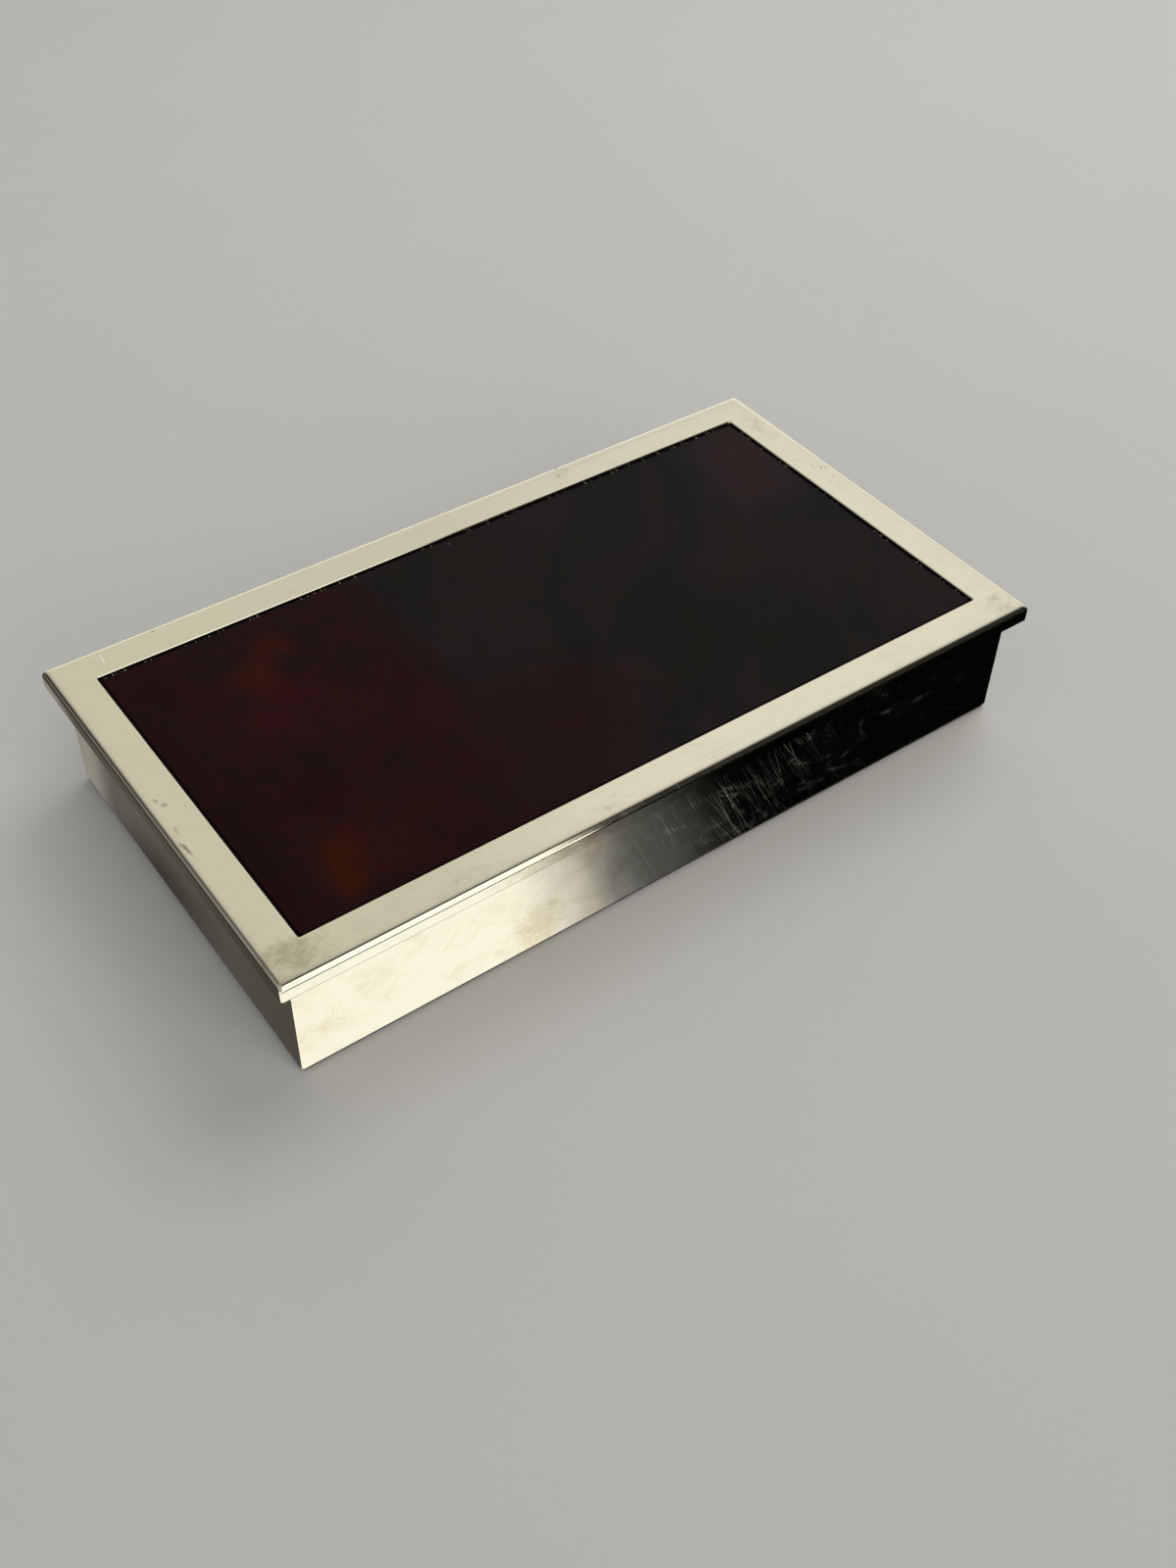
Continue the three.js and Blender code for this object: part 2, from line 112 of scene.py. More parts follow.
class BoxSizes(bpy.types.PropertyGroup):
    """Sizes of the modelled pieces that their solids' boxes don't give."""

    lid_corner: length("Lid corner", "Radius of the lid's corners in plan", 0.0009)
    lid_edge: length("Lid top edge", "Bend of the lid's upper edge", 0.0017)
    ease_outer: length("Outer ease", "Width of the steeper part of the polished edge", 0.0024)
    ease_inner: length("Inner ease", "Width of the flatter part of the polished edge", 0.0018)
    outer_drop: length("Outer drop", "How far the rails' outer edge is polished down", 0.00022)
    inner_drop: length("Inner drop", "How far they are polished down further in", 0.000047)
    lip_wall: length("Lip wall", "Thickness of the lip", 0.0014)
    lip_foot: length("Lip foot", "Rounding of the lip's lower edge", 0.0003)
    frame_face: length("Frame face", "Width of the frame round the panel", 0.0112)
    frame_plate: length("Frame plate", "Thickness of the frame's top", 0.0015)
    window_corner: length("Window corner", "Radius of the window's corners", 0.0008)
    window_edge: length("Window edge", "Rounding of the window's upper edge", 0.0005)
    panel_edge: length("Panel edge", "Rounding of the panel's upper edge", 0.0003)
    case_sheet: length("Case sheet", "Thickness of the case's sheet", 0.0012)
    case_corner: length("Case corner", "Radius of the case's corners in plan", 0.0008)
    case_foot: length("Case foot", "Width of the foot turned in under the case", 0.008)
    case_foot_edge: length("Case foot edge", "Rounding along the case's foot", 0.0005)
    case_rim: length("Case rim", "Easing of the case's upper edge", 0.00015)
    hinge_notch: length("Hinge notch", "Depth of the notch for the hinge's leaf", 0.0008)
    hinge_room: length("Hinge room", "Clearance at the ends of the hinge's leaf", 0.0002)
    pad_seam: length("Pad seam", "Depth of the sewn line round the floor pad", 0.0004)
    pad_border: length("Pad border", "Distance of the sewn line from the pad's edge", 0.005)
    pad_edge: length("Pad edge", "Rounding of the floor pad's upper edge", 0.0006)
    pad_crown: length("Pad crown", "Rise in the middle of the floor pad", 0.0005)
    felt_edge: length("Felt edge", "Rounding of the felt's edge", 0.0003)
    felt_fray: length("Felt fray", "How far the felt's cut edge strays", 0.00008)
    back_crumbs: count("Crumbs at the back", "Crumbs of glue along the back of the panel", 64)
    end_crumbs: count("Crumbs at the end", "Crumbs of glue along the right end of the panel", 30)


class BoxFinishes(bpy.types.PropertyGroup):
    """Colours of the finishes."""

    nickel: colour("Nickel", "Polished plate, warm with age", 0.66, 0.625, 0.478)
    tarnish: colour("Tarnish", "Brownish film on the plate", 0.5, 0.4, 0.22)
    shell_dark: colour("Shell, dark", "Darkest part of the panel", 0.0086, 0.0083, 0.0076)
    shell_plum: colour("Shell, plum", "Purplish patches of the panel", 0.0144, 0.0097, 0.0096)
    shell_olive: colour("Shell, olive", "Greenish patches of the panel", 0.0122, 0.0096, 0.006)
    shell_maroon: colour("Shell, maroon", "Darkest red of the panel", 0.0112, 0.004, 0.0036)
    shell_red: colour("Shell, red", "Red brown of the panel", 0.0176, 0.0038, 0.0036)
    shell_crimson: colour("Shell, crimson", "Brightest red of the panel", 0.0265, 0.0034, 0.0046)
    shell_amber: colour("Shell, amber", "Amber clouds of the panel", 0.037, 0.0064, 0.0018)
    mahogany: colour("Mahogany", "Lighter growth of the wood", 0.125, 0.037, 0.016)
    mahogany_dark: colour("Mahogany, dark", "Darker growth of the wood", 0.05, 0.013, 0.007)
    plywood: colour("Plywood", "Bare veneer of the bottom board", 0.36, 0.22, 0.1)
    suede: colour("Suede", "Cover of the floor pad", 0.085, 0.034, 0.018)
    felt: colour("Felt", "Felt under the case", 0.06, 0.031, 0.018)
    adhesive: colour("Adhesive", "Black bedding round the panel", 0.004, 0.0034, 0.003)
    glue: colour("Glue", "Crumbs of dried glue", 0.42, 0.36, 0.2)
    silvering: colour("Silvering", "Mirror", 0.86, 0.88, 0.87)
    brass: colour("Brass", "Hinge and screws", 0.52, 0.36, 0.155)


class BoxStage(bpy.types.PropertyGroup):
    """Floor, light and camera."""

    floor: colour("Floor", "Plain pale floor", 0.5, 0.49, 0.465)
    key_power: FloatProperty(
        name="Key light",
        description="Power of the soft key light",
        default=5.5,
        min=0,
        subtype="POWER",
        unit="POWER",
    )
    lens: FloatProperty(
        name="Lens",
        description="Focal length of the camera, in millimetres",
        default=39.639,
        min=1,
        subtype="NONE",
    )


class VanityBox(bpy.types.PropertyGroup):
    """All settings of the box."""

    sizes: PointerProperty(type=BoxSizes, name="Sizes", description="Sizes of the pieces")
    finishes: PointerProperty(type=BoxFinishes, name="Finishes", description="Colours")
    stage: PointerProperty(type=BoxStage, name="Stage", description="Floor, light, camera")


# Nodes of the finishes


class Value:
    """A number from a node. Arithmetic on it adds Math nodes."""

    def __init__(self, nodes, socket):
        self.nodes = nodes
        self.socket = socket

    def math(self, operation, *terms):
        return self.nodes.node("Math", {"operation": operation}, dict(enumerate(terms)))

    def output(self, name):
        return Value(self.nodes, self.socket.node.outputs[name])

    def __add__(self, other):
        return self.math("ADD", self, other)

    def __sub__(self, other):
        return self.math("SUBTRACT", self, other)

    def __rsub__(self, other):
        return self.math("SUBTRACT", other, self)

    def __mul__(self, other):
        return self.math("MULTIPLY", self, other)

    def __truediv__(self, other):
        return self.math("DIVIDE", self, other)

    __radd__ = __add__
    __rmul__ = __mul__

    def __neg__(self):
        return self * -1

    def __abs__(self):
        return self.math("ABSOLUTE", self)

    def most(self, other):
        return self.math("MAXIMUM", self, other)

    def least(self, other):
        return self.math("MINIMUM", self, other)

    def rise(self, low, high):
        """0 below low, 1 above high, and smooth between."""
        sockets = {"Value": self, "From Min": low, "From Max": high}
        return self.nodes.node("MapRange", {"interpolation_type": "SMOOTHSTEP"}, sockets)

    def turns(self):
        return self.math("FRACT", self)


class Nodes:
    """Adds nodes to a tree."""

    def __init__(self, tree):
        self.tree = tree

    def node(self, kind, settings=None, sockets=None, output=0):
        node = self.tree.nodes.new("ShaderNode" + kind)
        for key, setting in (settings or {}).items():
            setattr(node, key, setting)
        self.join(node, sockets or {})
        return Value(self, node.outputs[output]) if node.outputs else None

    def join(self, node, sockets):
        for key, given in sockets.items():
            socket = node.inputs[key]
            if isinstance(given, Value):
                self.tree.links.new(given.socket, socket)
            elif socket.type == "RGBA" and len(given) == 3:
                socket.default_value = (*given, 1)
            else:
                socket.default_value = given

    def blend(self, share, first, second):
        """A colour between two."""
        return self.node("Mix", {"data_type": "RGBA"}, {0: share, 6: first, 7: second}, 2)

    def layers(self, shade, *coats):
        """A colour with others laid over it, each where its mask is 1."""
        for mask, coat in coats:
            shade = self.blend(mask, shade, coat)
        return shade

    def vector(self, operation, first, second):
        return self.node("VectorMath", {"operation": operation}, {0: first, 1: second})


class Finish(Nodes):
    """A material whose patterns are in the piece's own coordinates, in millimetres."""

    def __init__(self, name):
        self.material = bpy.data.materials.new(name)
        self.material.use_nodes = True
        super().__init__(self.material.node_tree)
        self.shader = self.tree.nodes["Principled BSDF"]
        here = self.node("TexCoord", output="Object")
        self.place = self.vector("MULTIPLY", here, (MM, MM, MM))
        self.x = self.node("SeparateXYZ", None, {0: self.place})
        self.y = self.x.output("Y")
        self.z = self.x.output("Z")

    def tones(self, share, shade, low, high):
        """One colour, darkened or lightened between two factors."""
        return self.blend(share, tinted(shade, low), tinted(shade, high))

    def surface(self, **sockets):
        """Sets the shader's sockets, named as words joined by underscores."""
        words = {"ior": "IOR", "specular_ior_level": "Specular IOR Level"}
        named = {words.get(key, key.replace("_", " ").title()): to for key, to in sockets.items()}
        self.join(self.shader, named)
        return self.material

    def mapped(self, size, turn=(0, 0, 0), middle=(0, 0, 0), place=None):
        """The coordinates about a point, turned, and counted in lengths of the given size."""
        turned = tuple(math.radians(angle) for angle in turn)
        sockets = {
            "Vector": place or self.place,
            "Location": middle,
            "Rotation": turned,
            "Scale": size if hasattr(size, "__len__") else (size,) * 3,
        }
        return self.node("Mapping", {"vector_type": "TEXTURE"}, sockets)

    def noise(self, size, turn=(0, 0, 0), middle=(0, 0, 0), detail=3.0, rough=0.5, swirl=0.0):
        sockets = {
            "Vector": self.mapped(size, turn, middle),
            "Scale": 1.0,
            "Detail": detail,
            "Roughness": rough,
            "Distortion": swirl,
        }
        return self.node("TexNoise", None, sockets)

    def scratches(self, spacing, reach, turn, width, share, middle=(0, 0, 0), lean=0.12):
        """Fine straight lines, one in each of a share of long cells, leaning each its own way."""
        place = self.mapped((spacing, reach, 1), turn, middle)
        sockets = {"Vector": place, "Scale": 1.0, "Randomness": 0.85}
        cell = self.node("TexVoronoi", {"voronoi_dimensions": "2D"}, sockets)
        chance = self.node("SeparateXYZ", None, {0: cell.output("Color")})
        away = self.vector("SUBTRACT", place, cell.output("Position"))
        across = self.node("SeparateXYZ", None, {0: away})
        along = across.output("Y") * reach
        aside = abs(across * spacing + along * (chance.output("Y") - 0.5) * lean)
        line = 1 - aside.rise(0.3 * width, width)
        ends = 1 - abs(along).rise(0.15 * reach, 0.45 * reach)
        strength = 0.25 + 0.75 * chance.output("Z")
        return line * ends * strength * chance.rise(1 - share, 1.02 - share)

    def stroke(self, start, end, width, across=4.0):
        """One straight scratch on an upright wall that faces the front."""
        start, end = Vector(start), Vector(end)
        run = end - start
        lean = math.degrees(math.atan2(run.x, run.z))
        return self.spot((start + end) / 2, (width, across, run.length / 2), 0.2, (0, lean, 0))

    def warped(self, size, reach, detail=4.0):
        """The coordinates pushed about by a noise, by up to about half the reach."""
        push = self.noise(size, detail=detail).output("Color")
        centred = self.vector("SUBTRACT", push, (0.5, 0.5, 0.5))
        return self.vector("ADD", self.place, self.vector("MULTIPLY", centred, (reach,) * 3))

    def spot(self, middle, radii, core=0.0, turn=(0, 0, 0), place=None):
        """1 in the middle of an oval, and 0 outside it."""
        around = self.mapped(radii, turn, middle, place)
        away = self.node("VectorMath", {"operation": "LENGTH"}, {0: around}, "Value")
        return 1 - away.rise(core, 1.0)

    def spots(self, rows, core, place):
        """Ovals added up, each with its middle, radii and weight."""
        return sum(
            self.spot(middle, radii, core, place=place) * weight for middle, radii, weight in rows
        )

    def specks(self, spacing, radius, share, middle=(0, 0, 0)):
        """Scattered dots, in a share of the cells of a loose grid."""
        sockets = {"Vector": self.mapped(spacing, (0, 0, 0), middle), "Scale": 1.0}
        cell = self.node("TexVoronoi", None, sockets)
        chosen = self.node("SeparateXYZ", None, {0: cell.output("Color")})
        reach = radius / spacing
        dots = 1 - cell.rise(0.5 * reach, reach)
        return dots * chosen.rise(1 - share, 1.01 - share)

    def bump(self, height, depth, strength):
        """A normal from a height of 0 to 1, which stands for a depth in millimetres."""
        sockets = {"Strength": strength, "Distance": depth / MM, "Height": height}
        return self.node("Bump", None, sockets)


def tinted(shade, factor):
    return tuple(part * factor for part in shade)


def strongest(values):
    """The largest of several values at each point."""
    return reduce(Value.most, values)


# Finishes


def plated(name, finishes):
    """The polished plate that the frame and the case share, with its haze, smears and pits."""
    finish = Finish(name)
    haze = finish.noise(26, detail=4.0, rough=0.6)
    smear = finish.noise((7, 5, 6), detail=5.0, rough=0.65, swirl=0.6)
    film = (haze * 0.6 + smear * 0.4).rise(0.46, 0.72)
    plate = finish.tones(film * 0.5, finishes.nickel, 1, 0.9)
    pits = finish.specks(17, 0.3, 0.3, (3, 5, 2))
    return finish, plate, film, smear, pits


def lid_frame_finish(finishes):
    """Plate with smudged corners, hairlines along the rails and a few small dents, with painted
    shade along the lip's foot and in the trench round the window.
    """
    finish, plate, film, smear, pits = plated("lid_frame_plate", finishes)
    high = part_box("lid_frame")[1] * MM
    top = high.z
    level = finish.z - top
    rail = 10.8
    window_x, window_y = high.x - rail, high.y - rail
    long_rail = abs(finish.y).rise(window_y, window_y + 0.6)
    along_x = finish.scratches(1.6, 38, (0, 0, 90), 0.09, 0.5)
    along_y = finish.scratches(1.6, 38, (0, 0, 0), 0.09, 0.5)
    aslant = finish.scratches(5, 14, (0, 0, 50), 0.1, 0.3, (3, 8, 0), 1.6)
    hairs = (along_x * long_rail).most(along_y * (1 - long_rail)).most(aslant * 0.7)
    smudged = (
        ((-112, -59, top), (17, 12, 8), 1.0),
        ((-66, -61, top), (18, 5, 8), 0.6),
        ((-24, -61, top), (12, 4, 8), 0.5),
        ((113, -60, top), (9, 9, 8), 0.7),
        ((-108, 60, top), (16, 6, 8), 0.4),
        ((47, 62, top), (8, 5, 8), 0.6),
        ((114, 46, top), (6, 20, 8), 0.6),
    )
    smudges = finish.spots(smudged, 0.1, finish.warped(6, 9))
    mottle = finish.noise((2.6, 2.2, 2.4), middle=(4, 1, 0), detail=6.0, rough=0.72, swirl=0.8)
    smudge = (smudges * (mottle * 1.5 + smear * 0.5 - 0.45)).rise(0.15, 0.7)
    freckles = (mottle * 0.7 + smear * 0.3).rise(0.48, 0.72)
    peppered = finish.specks(1.7, 0.5, 0.8) * finish.spot((114.5, 17, top), (4, 9, 3), 0.3)
    pits = pits.most(peppered)
    ragged = finish.warped(1.2, 1.6)
    dents = strongest(
        finish.spot(middle, radii, 0.2, (0, 0, turn), ragged) * weight
        for middle, radii, turn, weight in (
            ((-117.4, -15, top), (0.8, 4.2, 1), 8, 1.0),
            ((-115.2, 1.5, top), (1.3, 1.0, 1), 0, 0.8),
            ((-116.4, 4, top), (0.7, 1.4, 1), 0, 0.7),
            ((-116.6, -8, top), (0.5, 2.4, 1), 0, 0.5),
            ((48, 65, top), (0.9, 0.7, 1), 0, 0.9),
            ((46, 61, top), (0.8, 0.8, 1), 0, 0.8),
            ((-88, 64, top), (0.8, 0.7, 1), 0, 0.9),
            ((-120, 45, top - 3.6), (1, 1.3, 1.1), 0, 0.9),
        )
    )
    lip = 1 - level.rise(-1.2, -0.8)
    # painted shade: a dark line along the lip's lower edge
    foot = 1 - level.rise(-4.9, -4.65)
    bloom = finish.noise((2.4, 2.4, 1.6), middle=(2, 0, 7), detail=5.0, rough=0.7)
    golden = finish.spot((-42, -66, top - 3), (34, 4, 9), 0.2)
    stain = (bloom + golden * 0.16).rise(0.55, 0.75) * lip
    inside = (window_x - abs(finish.x)).least(window_y - abs(finish.y))
    # painted shade: the lower part of the window's inner wall, in the bedding's black, for the dark
    # trench round the panel
    painted_trench_shade = inside.rise(0, 0.3) * (1 - level.rise(-0.85, -0.6))
    scored = finish.spot((-104.3, 61, top), (0.3, 3.8, 1), 0.3, (0, 0, -8))
    wear_and_painted_shade = finish.layers(
        plate,
        (freckles * 0.3, (0.5, 0.46, 0.36)),
        (smudge * 0.8, (0.42, 0.37, 0.25)),
        (stain * (0.2 + golden * 0.4), finishes.tarnish),
        ((dents * 0.6).most(pits * 0.8), (0.1, 0.088, 0.064)),
        # painted shade at the lip's foot, with the hairlines darkened as wear
        ((foot * 0.75).most(hairs * 0.1), (0.12, 0.105, 0.078)),
        (scored * 0.6, (0.95, 0.93, 0.86)),
        # painted shade in the trench round the panel
        (painted_trench_shade, finishes.adhesive),
    )
    height = smear * 0.2 - dents - pits * 0.5 - hairs * 0.15
    return finish.surface(
        base_color=wear_and_painted_shade,
        metallic=1.0,
        roughness=0.075 + film * 0.05 + smudge * 0.1 + hairs * 0.16 + dents * 0.3,
        normal=finish.bump(height, 0.02, 0.35),
    )


def case_band_finish(finishes):
    """Plate with steep scratches and a tarnish stain on the front, scuffs elsewhere, and a painted
    shadow line along the foot.
    """
    finish, plate, film, smear, pits = plated("case_band_plate", finishes)
    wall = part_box("case_band")[1].y * MM
    long_wall = abs(finish.y).rise(wall - 0.8, wall - 0.3)
    front = (-finish.y).rise(wall - 0.8, wall - 0.3)
    begun = finish.x.rise(-36, -4)
    busy = begun * (1 - finish.x.rise(28, 74) * 0.88)
    hazy = begun * (1 - finish.x.rise(76, 116) * 0.8)
    strokes = [
        finish.stroke((start, -wall, top), (end, -wall, foot), width) * weight
        for start, top, end, foot, width, weight in (
            (-11, 33, 1, 3, 0.12, 1.0),
            (29, 31, 35, 14, 0.11, 1.0),
            (42, 27, 74, 4, 0.1, 0.8),
            (-16, 18, -6, 23, 0.1, 0.7),
        )
    ]
    strokes += [
        finish.scratches(spacing, reach, (90, lean, 0), width, share, (reach, 0, spacing)) * weight
        for spacing, reach, lean, width, share, weight in (
            (3.0, 52, -27, 0.1, 0.55, 1.0),
            (2.4, 44, -22, 0.09, 0.55, 0.9),
            (2.7, 48, -33, 0.09, 0.55, 0.9),
            (0.8, 24, -25, 0.07, 0.6, 0.75),
            (0.9, 20, -31, 0.07, 0.6, 0.65),
            (9.0, 60, -58, 0.09, 0.3, 0.7),
            (12.0, 34, 33, 0.08, 0.3, 0.5),
        )
    ]
    scored = strongest(strokes) * (0.1 + 0.9 * busy * front)
    side = finish.scratches(5, 18, (90, 0, 90), 0.1, 0.35, (0, 3, 6), 0.8)
    marks = (scored * long_wall).most(side * (1 - long_wall) * 0.25)
    wisp = finish.noise((15, 30, 9), (0, 18, 0), (1, 0, 4), detail=6.0, rough=0.66, swirl=1.4)
    hatch = finish.noise((0.4, 30, 8), (0, -28, 0), (3, 0, 6), detail=3.0, rough=0.6)
    streaks = wisp.rise(0.44, 0.72) * 0.8 + hatch.rise(0.5, 0.75) * 0.4
    wisps = streaks * hazy * front
    wipes = finish.noise((0.8, 30, 14), (0, 40, 0), (5, 0, 1), detail=4.0, rough=0.6)
    wiped = wipes.rise(0.5, 0.66) * long_wall
    drifts = finish.noise((15, 30, 8), (0, 35, 0), (2, 0, 9), detail=5.0, rough=0.62, swirl=0.6)
    cloudy = drifts.rise(0.46, 0.7) * long_wall
    mottle = finish.noise((1.1, 1.1, 1.1), detail=6.0, rough=0.8)
    stained = (
        ((-47, -wall, 9), (14, 9, 14), 1.0),
        ((-106, -wall, 14), (13, 9, 12), 0.4),
        ((-76, -wall, 26), (24, 9, 10), 0.3),
        ((-27, -wall, 27), (20, 9, 9), 0.5),
        ((60, -wall, 31), (40, 9, 4), 0.5),
        ((-116, 34, 18), (9, 16, 10), 0.5),
        ((-116, -54, 9), (9, 12, 9), 0.7),
    )
    stains = finish.spots(stained, 0.1, finish.warped(5, 9))
    stain = (mottle + stains * 0.22).rise(0.52, 0.78) * stains.rise(0, 0.5)
    # painted shade: a dark line along the foot of the walls
    foot = 1 - finish.z.rise(1.15, 1.4)
    wear_and_painted_shade = finish.layers(
        plate,
        (stain * 0.55 + wiped * 0.2 + cloudy * 0.26, finishes.tarnish),
        ((marks * 0.9).most(wisps * 0.8), (0.62, 0.63, 0.62)),
        # pits darkened as wear, and the foot darkened as painted shade
        ((pits * 0.6).most(foot * 0.8), (0.07, 0.06, 0.045)),
    )
    dull = film * 0.04 + wiped * 0.04 + stain * 0.05 + wisps * 0.36 + marks * 0.5
    height = smear * 0.2 - marks * 0.5 - pits * 0.6
    return finish.surface(
        base_color=wear_and_painted_shade,
        metallic=1.0,
        roughness=0.06 + dull,
        normal=finish.bump(height, 0.02, 0.35),
    )


def tortoiseshell_finish(finishes):
    """Polished acrylic, nearly black, with red and amber clouds on the left and dust on top."""
    finish = Finish("tortoiseshell_acrylic")
    drift = finish.warped(26, 24, 2.0)
    billow = finish.noise((30, 19, 30), (0, 0, 24), (14, 3, 0), detail=4.0, rough=0.55, swirl=0.8)
    grain = finish.noise((12, 8, 11), (0, 0, -58), (2, 8, 0), detail=5.0, rough=0.6, swirl=0.6)
    other = finish.noise((46, 26, 30), (0, 0, 52), (31, 8, 5), detail=4.0, rough=0.5, swirl=0.6)
    broad = billow.rise(0.34, 0.66)
    fine = grain.rise(0.32, 0.68)

    def clouds(*rows):
        return sum(
            finish.spot((x, y, 39), (wide, tall, 30), 0.0, (0, 0, turn), drift) * weight
            for x, y, wide, tall, turn, weight in rows
        )

    above = (finish.y + (broad - 0.5) * 16).rise(-20, -4)
    upper = 1 - (finish.x + (billow - 0.5) * 24 + (grain - 0.5) * 22).rise(-41, -24)
    lower = 1 - (finish.x + (billow - 0.5) * 50).rise(-66, 14)
    left = upper * above + lower * (1 - above)
    red = (
        (left * (0.1 + broad * 0.45 + fine * 0.55))
        .most(clouds((-14, -28, 46, 42, 12, 0.58)))
        .most(clouds((98, 33, 20, 36, -24, 0.35)))
    )
    crimson = clouds(
        (-70, 15, 36, 23, 10, 1.0),
        (-38, -6, 11, 24, 0, 0.7),
        (98, 34, 12, 24, -24, 0.3),
    )
    amber = clouds(
        (-70, 34, 15, 24, -18, 1.15),
        (-92, -42, 14, 30, -10, 0.88),
        (-76, -38, 27, 23, 0, 0.45),
        (-58, 10, 13, 20, 20, 0.25),
    )
    shade = (
        clouds((-84, -16, 17, 12, 0, 0.7))
        .most(clouds((-110, -8, 11, 90, 0, 1.0)))
        .most(clouds((-100, 38, 13, 18, 0, 0.8)))
    )
    plum = other.rise(0.4, 0.62)
    mixed = billow * 0.5 + grain * 0.5 + clouds((5, 36, 12, 26, 0, 0.1))
    shell = finish.layers(
        finishes.shell_dark,
        (plum * 0.9, finishes.shell_plum),
        (mixed.rise(0.48, 0.64) * 0.5, finishes.shell_olive),
        (clouds((98, 34, 28, 38, -24, 0.7)), tinted(finishes.shell_plum, 1.7)),
        (left * 0.85, finishes.shell_maroon),
        (red.rise(0.05, 1.0), finishes.shell_red),
        ((crimson * (0.4 + fine * 0.65)).rise(0.05, 1.1), finishes.shell_crimson),
        ((amber * (0.5 + fine * 0.5)).rise(0.05, 1.1), finishes.shell_amber),
        (shade * (0.4 + broad * 0.4), tinted(finishes.shell_maroon, 0.75)),
    )
    dust = finish.specks(26, 0.22, 0.3, (4, 7, 0)).most(finish.specks(41, 0.32, 0.3, (8, 1, 0)))
    wipes = finish.noise((40, 6, 20), (0, 0, 24), detail=4.0, rough=0.6)
    return finish.surface(
        base_color=finish.blend(dust * 0.7, shell, (0.3, 0.27, 0.23)),
        metallic=0.0,
        roughness=0.035 + wipes.rise(0.45, 0.75) * 0.035 + dust * 0.5,
        ior=1.08,
        normal=finish.bump(dust, 0.03, 0.5),
    )


def mahogany_finish(name, finishes, along):
    """Varnished wood with its grain along the board, X or Y."""
    finish = Finish(name)
    turn = (0, 0, 0) if along == "X" else (0, 0, 90)
    figure = finish.noise((60, 3.2, 3.2), turn, (7, 2, 3), detail=4.0, rough=0.55, swirl=0.7)
    bands = finish.noise((150, 1.1, 1.1), turn, (1, 5, 0), detail=3.0, rough=0.6)
    pores = finish.noise((9, 0.22, 0.22), turn, (3, 1, 9), detail=2.0)
    pore = pores.rise(0.62, 0.72)
    ribbon = finish.noise((24, 16, 16), turn, (2, 2, 8), detail=2.0)
    growth = (figure * 0.55 + bands * 0.3 + ribbon * 0.15).rise(0.36, 0.62)
    wood = finish.blend(growth, finishes.mahogany_dark, finishes.mahogany)
    return finish.surface(
        base_color=finish.blend(pore * 0.7, wood, tinted(finishes.mahogany_dark, 0.35)),
        roughness=0.36 + growth * 0.08 + pore * 0.2,
        coat_weight=0.25,
        coat_roughness=0.18,
        normal=finish.bump(0.6 - pore * 0.6 + bands * 0.3, 0.04, 0.5),
    )


def plywood_finish(finishes):
    """Bare veneer with the plies showing at the edges."""
    finish = Finish("bottom_plywood")
    figure = finish.noise((90, 3, 3), (0, 0, 0), (3, 1, 0), detail=4.0, swirl=0.6)
    fibre = finish.noise((14, 0.4, 0.4), (0, 0, 0), (5, 2, 1), detail=2.0)
    ply = (finish.z / 1.35).turns().rise(0.46, 0.54)
    tone = (figure * 0.6 + fibre * 0.4).rise(0.34, 0.66)
    veneer = finish.tones(tone, finishes.plywood, 0.66, 1)
    return finish.surface(
        base_color=finish.blend(ply * 0.35, veneer, tinted(finishes.plywood, 0.45)),
        roughness=0.62 + tone * 0.12,
        normal=finish.bump(fibre, 0.05, 0.5),
    )


def suede_finish(finishes, border):
    """Napped suede, brushed in patches, with a line sewn along its border."""
    finish = Finish("floor_suede")
    brushed = finish.noise((22, 13, 20), (0, 0, 30), detail=3.0, rough=0.55, swirl=0.8)
    nap = finish.noise((0.5, 0.9, 0.5), (0, 0, 30), detail=4.0, rough=0.7)
    seam = (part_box("floor_pad")[1] - Vector((border, border, 0))) * MM
    past_x = abs(finish.x) - seam.x
    past_y = abs(finish.y) - seam.y
    line = 1 - abs(past_x.most(past_y)).rise(0.2, 0.32)
    on_end = (past_x - past_y).rise(-0.1, 0.1)
    step = (finish.x * (1 - on_end) + finish.y * on_end) / 2.6
    stitch = line * abs(step.turns() - 0.5).rise(0.14, 0.2)
    tone = (brushed * 0.7 + nap * 0.3).rise(0.32, 0.68)
    hide = finish.tones(tone, finishes.suede, 0.76, 1.16)
    return finish.surface(
        base_color=finish.blend(stitch, hide, tinted(finishes.suede, 2.4)),
        roughness=0.88 - stitch * 0.2,
        sheen_weight=0.25,
        sheen_roughness=0.5,
        sheen_tint=(0.8, 0.55, 0.4, 1),
        normal=finish.bump(nap * 0.5 + stitch * 0.6 - line * 0.3, 0.16, 0.6),
    )


def felt_finish(finishes):
    """Pressed felt with stray fibres."""
    finish = Finish("base_felt")
    fibre = finish.noise((1.6, 0.22, 0.3), (0, 0, 35), detail=4.0, rough=0.7, swirl=1.5)
    other = finish.noise((0.24, 1.5, 0.3), (0, 0, 20), (3, 0, 0), detail=4.0, rough=0.7, swirl=1.5)
    patch = finish.noise(14, detail=3.0)
    pile = fibre.most(other)
    tone = (pile * 0.7 + patch * 0.3).rise(0.38, 0.68)
    return finish.surface(
        base_color=finish.tones(tone, finishes.felt, 0.6, 1.45),
        roughness=0.9 + tone * 0.08,
        sheen_weight=0.2,
        normal=finish.bump(pile, 0.2, 0.7),
    )


def adhesive_finish(finishes):
    """Black bedding with a lumpy skin."""
    finish = Finish("panel_adhesive")
    lumps = finish.noise((0.9, 0.9, 0.6), detail=4.0, rough=0.6)
    grit = finish.specks(2.3, 0.16, 0.25)
    black = finish.tones(lumps, finishes.adhesive, 0.5, 1.6)
    return finish.surface(
        base_color=finish.blend(grit * 0.5, black, tinted(finishes.glue, 0.4)),
        roughness=0.6 + lumps * 0.3,
        specular_ior_level=0.1,
        normal=finish.bump(lumps, 0.2, 0.8),
    )


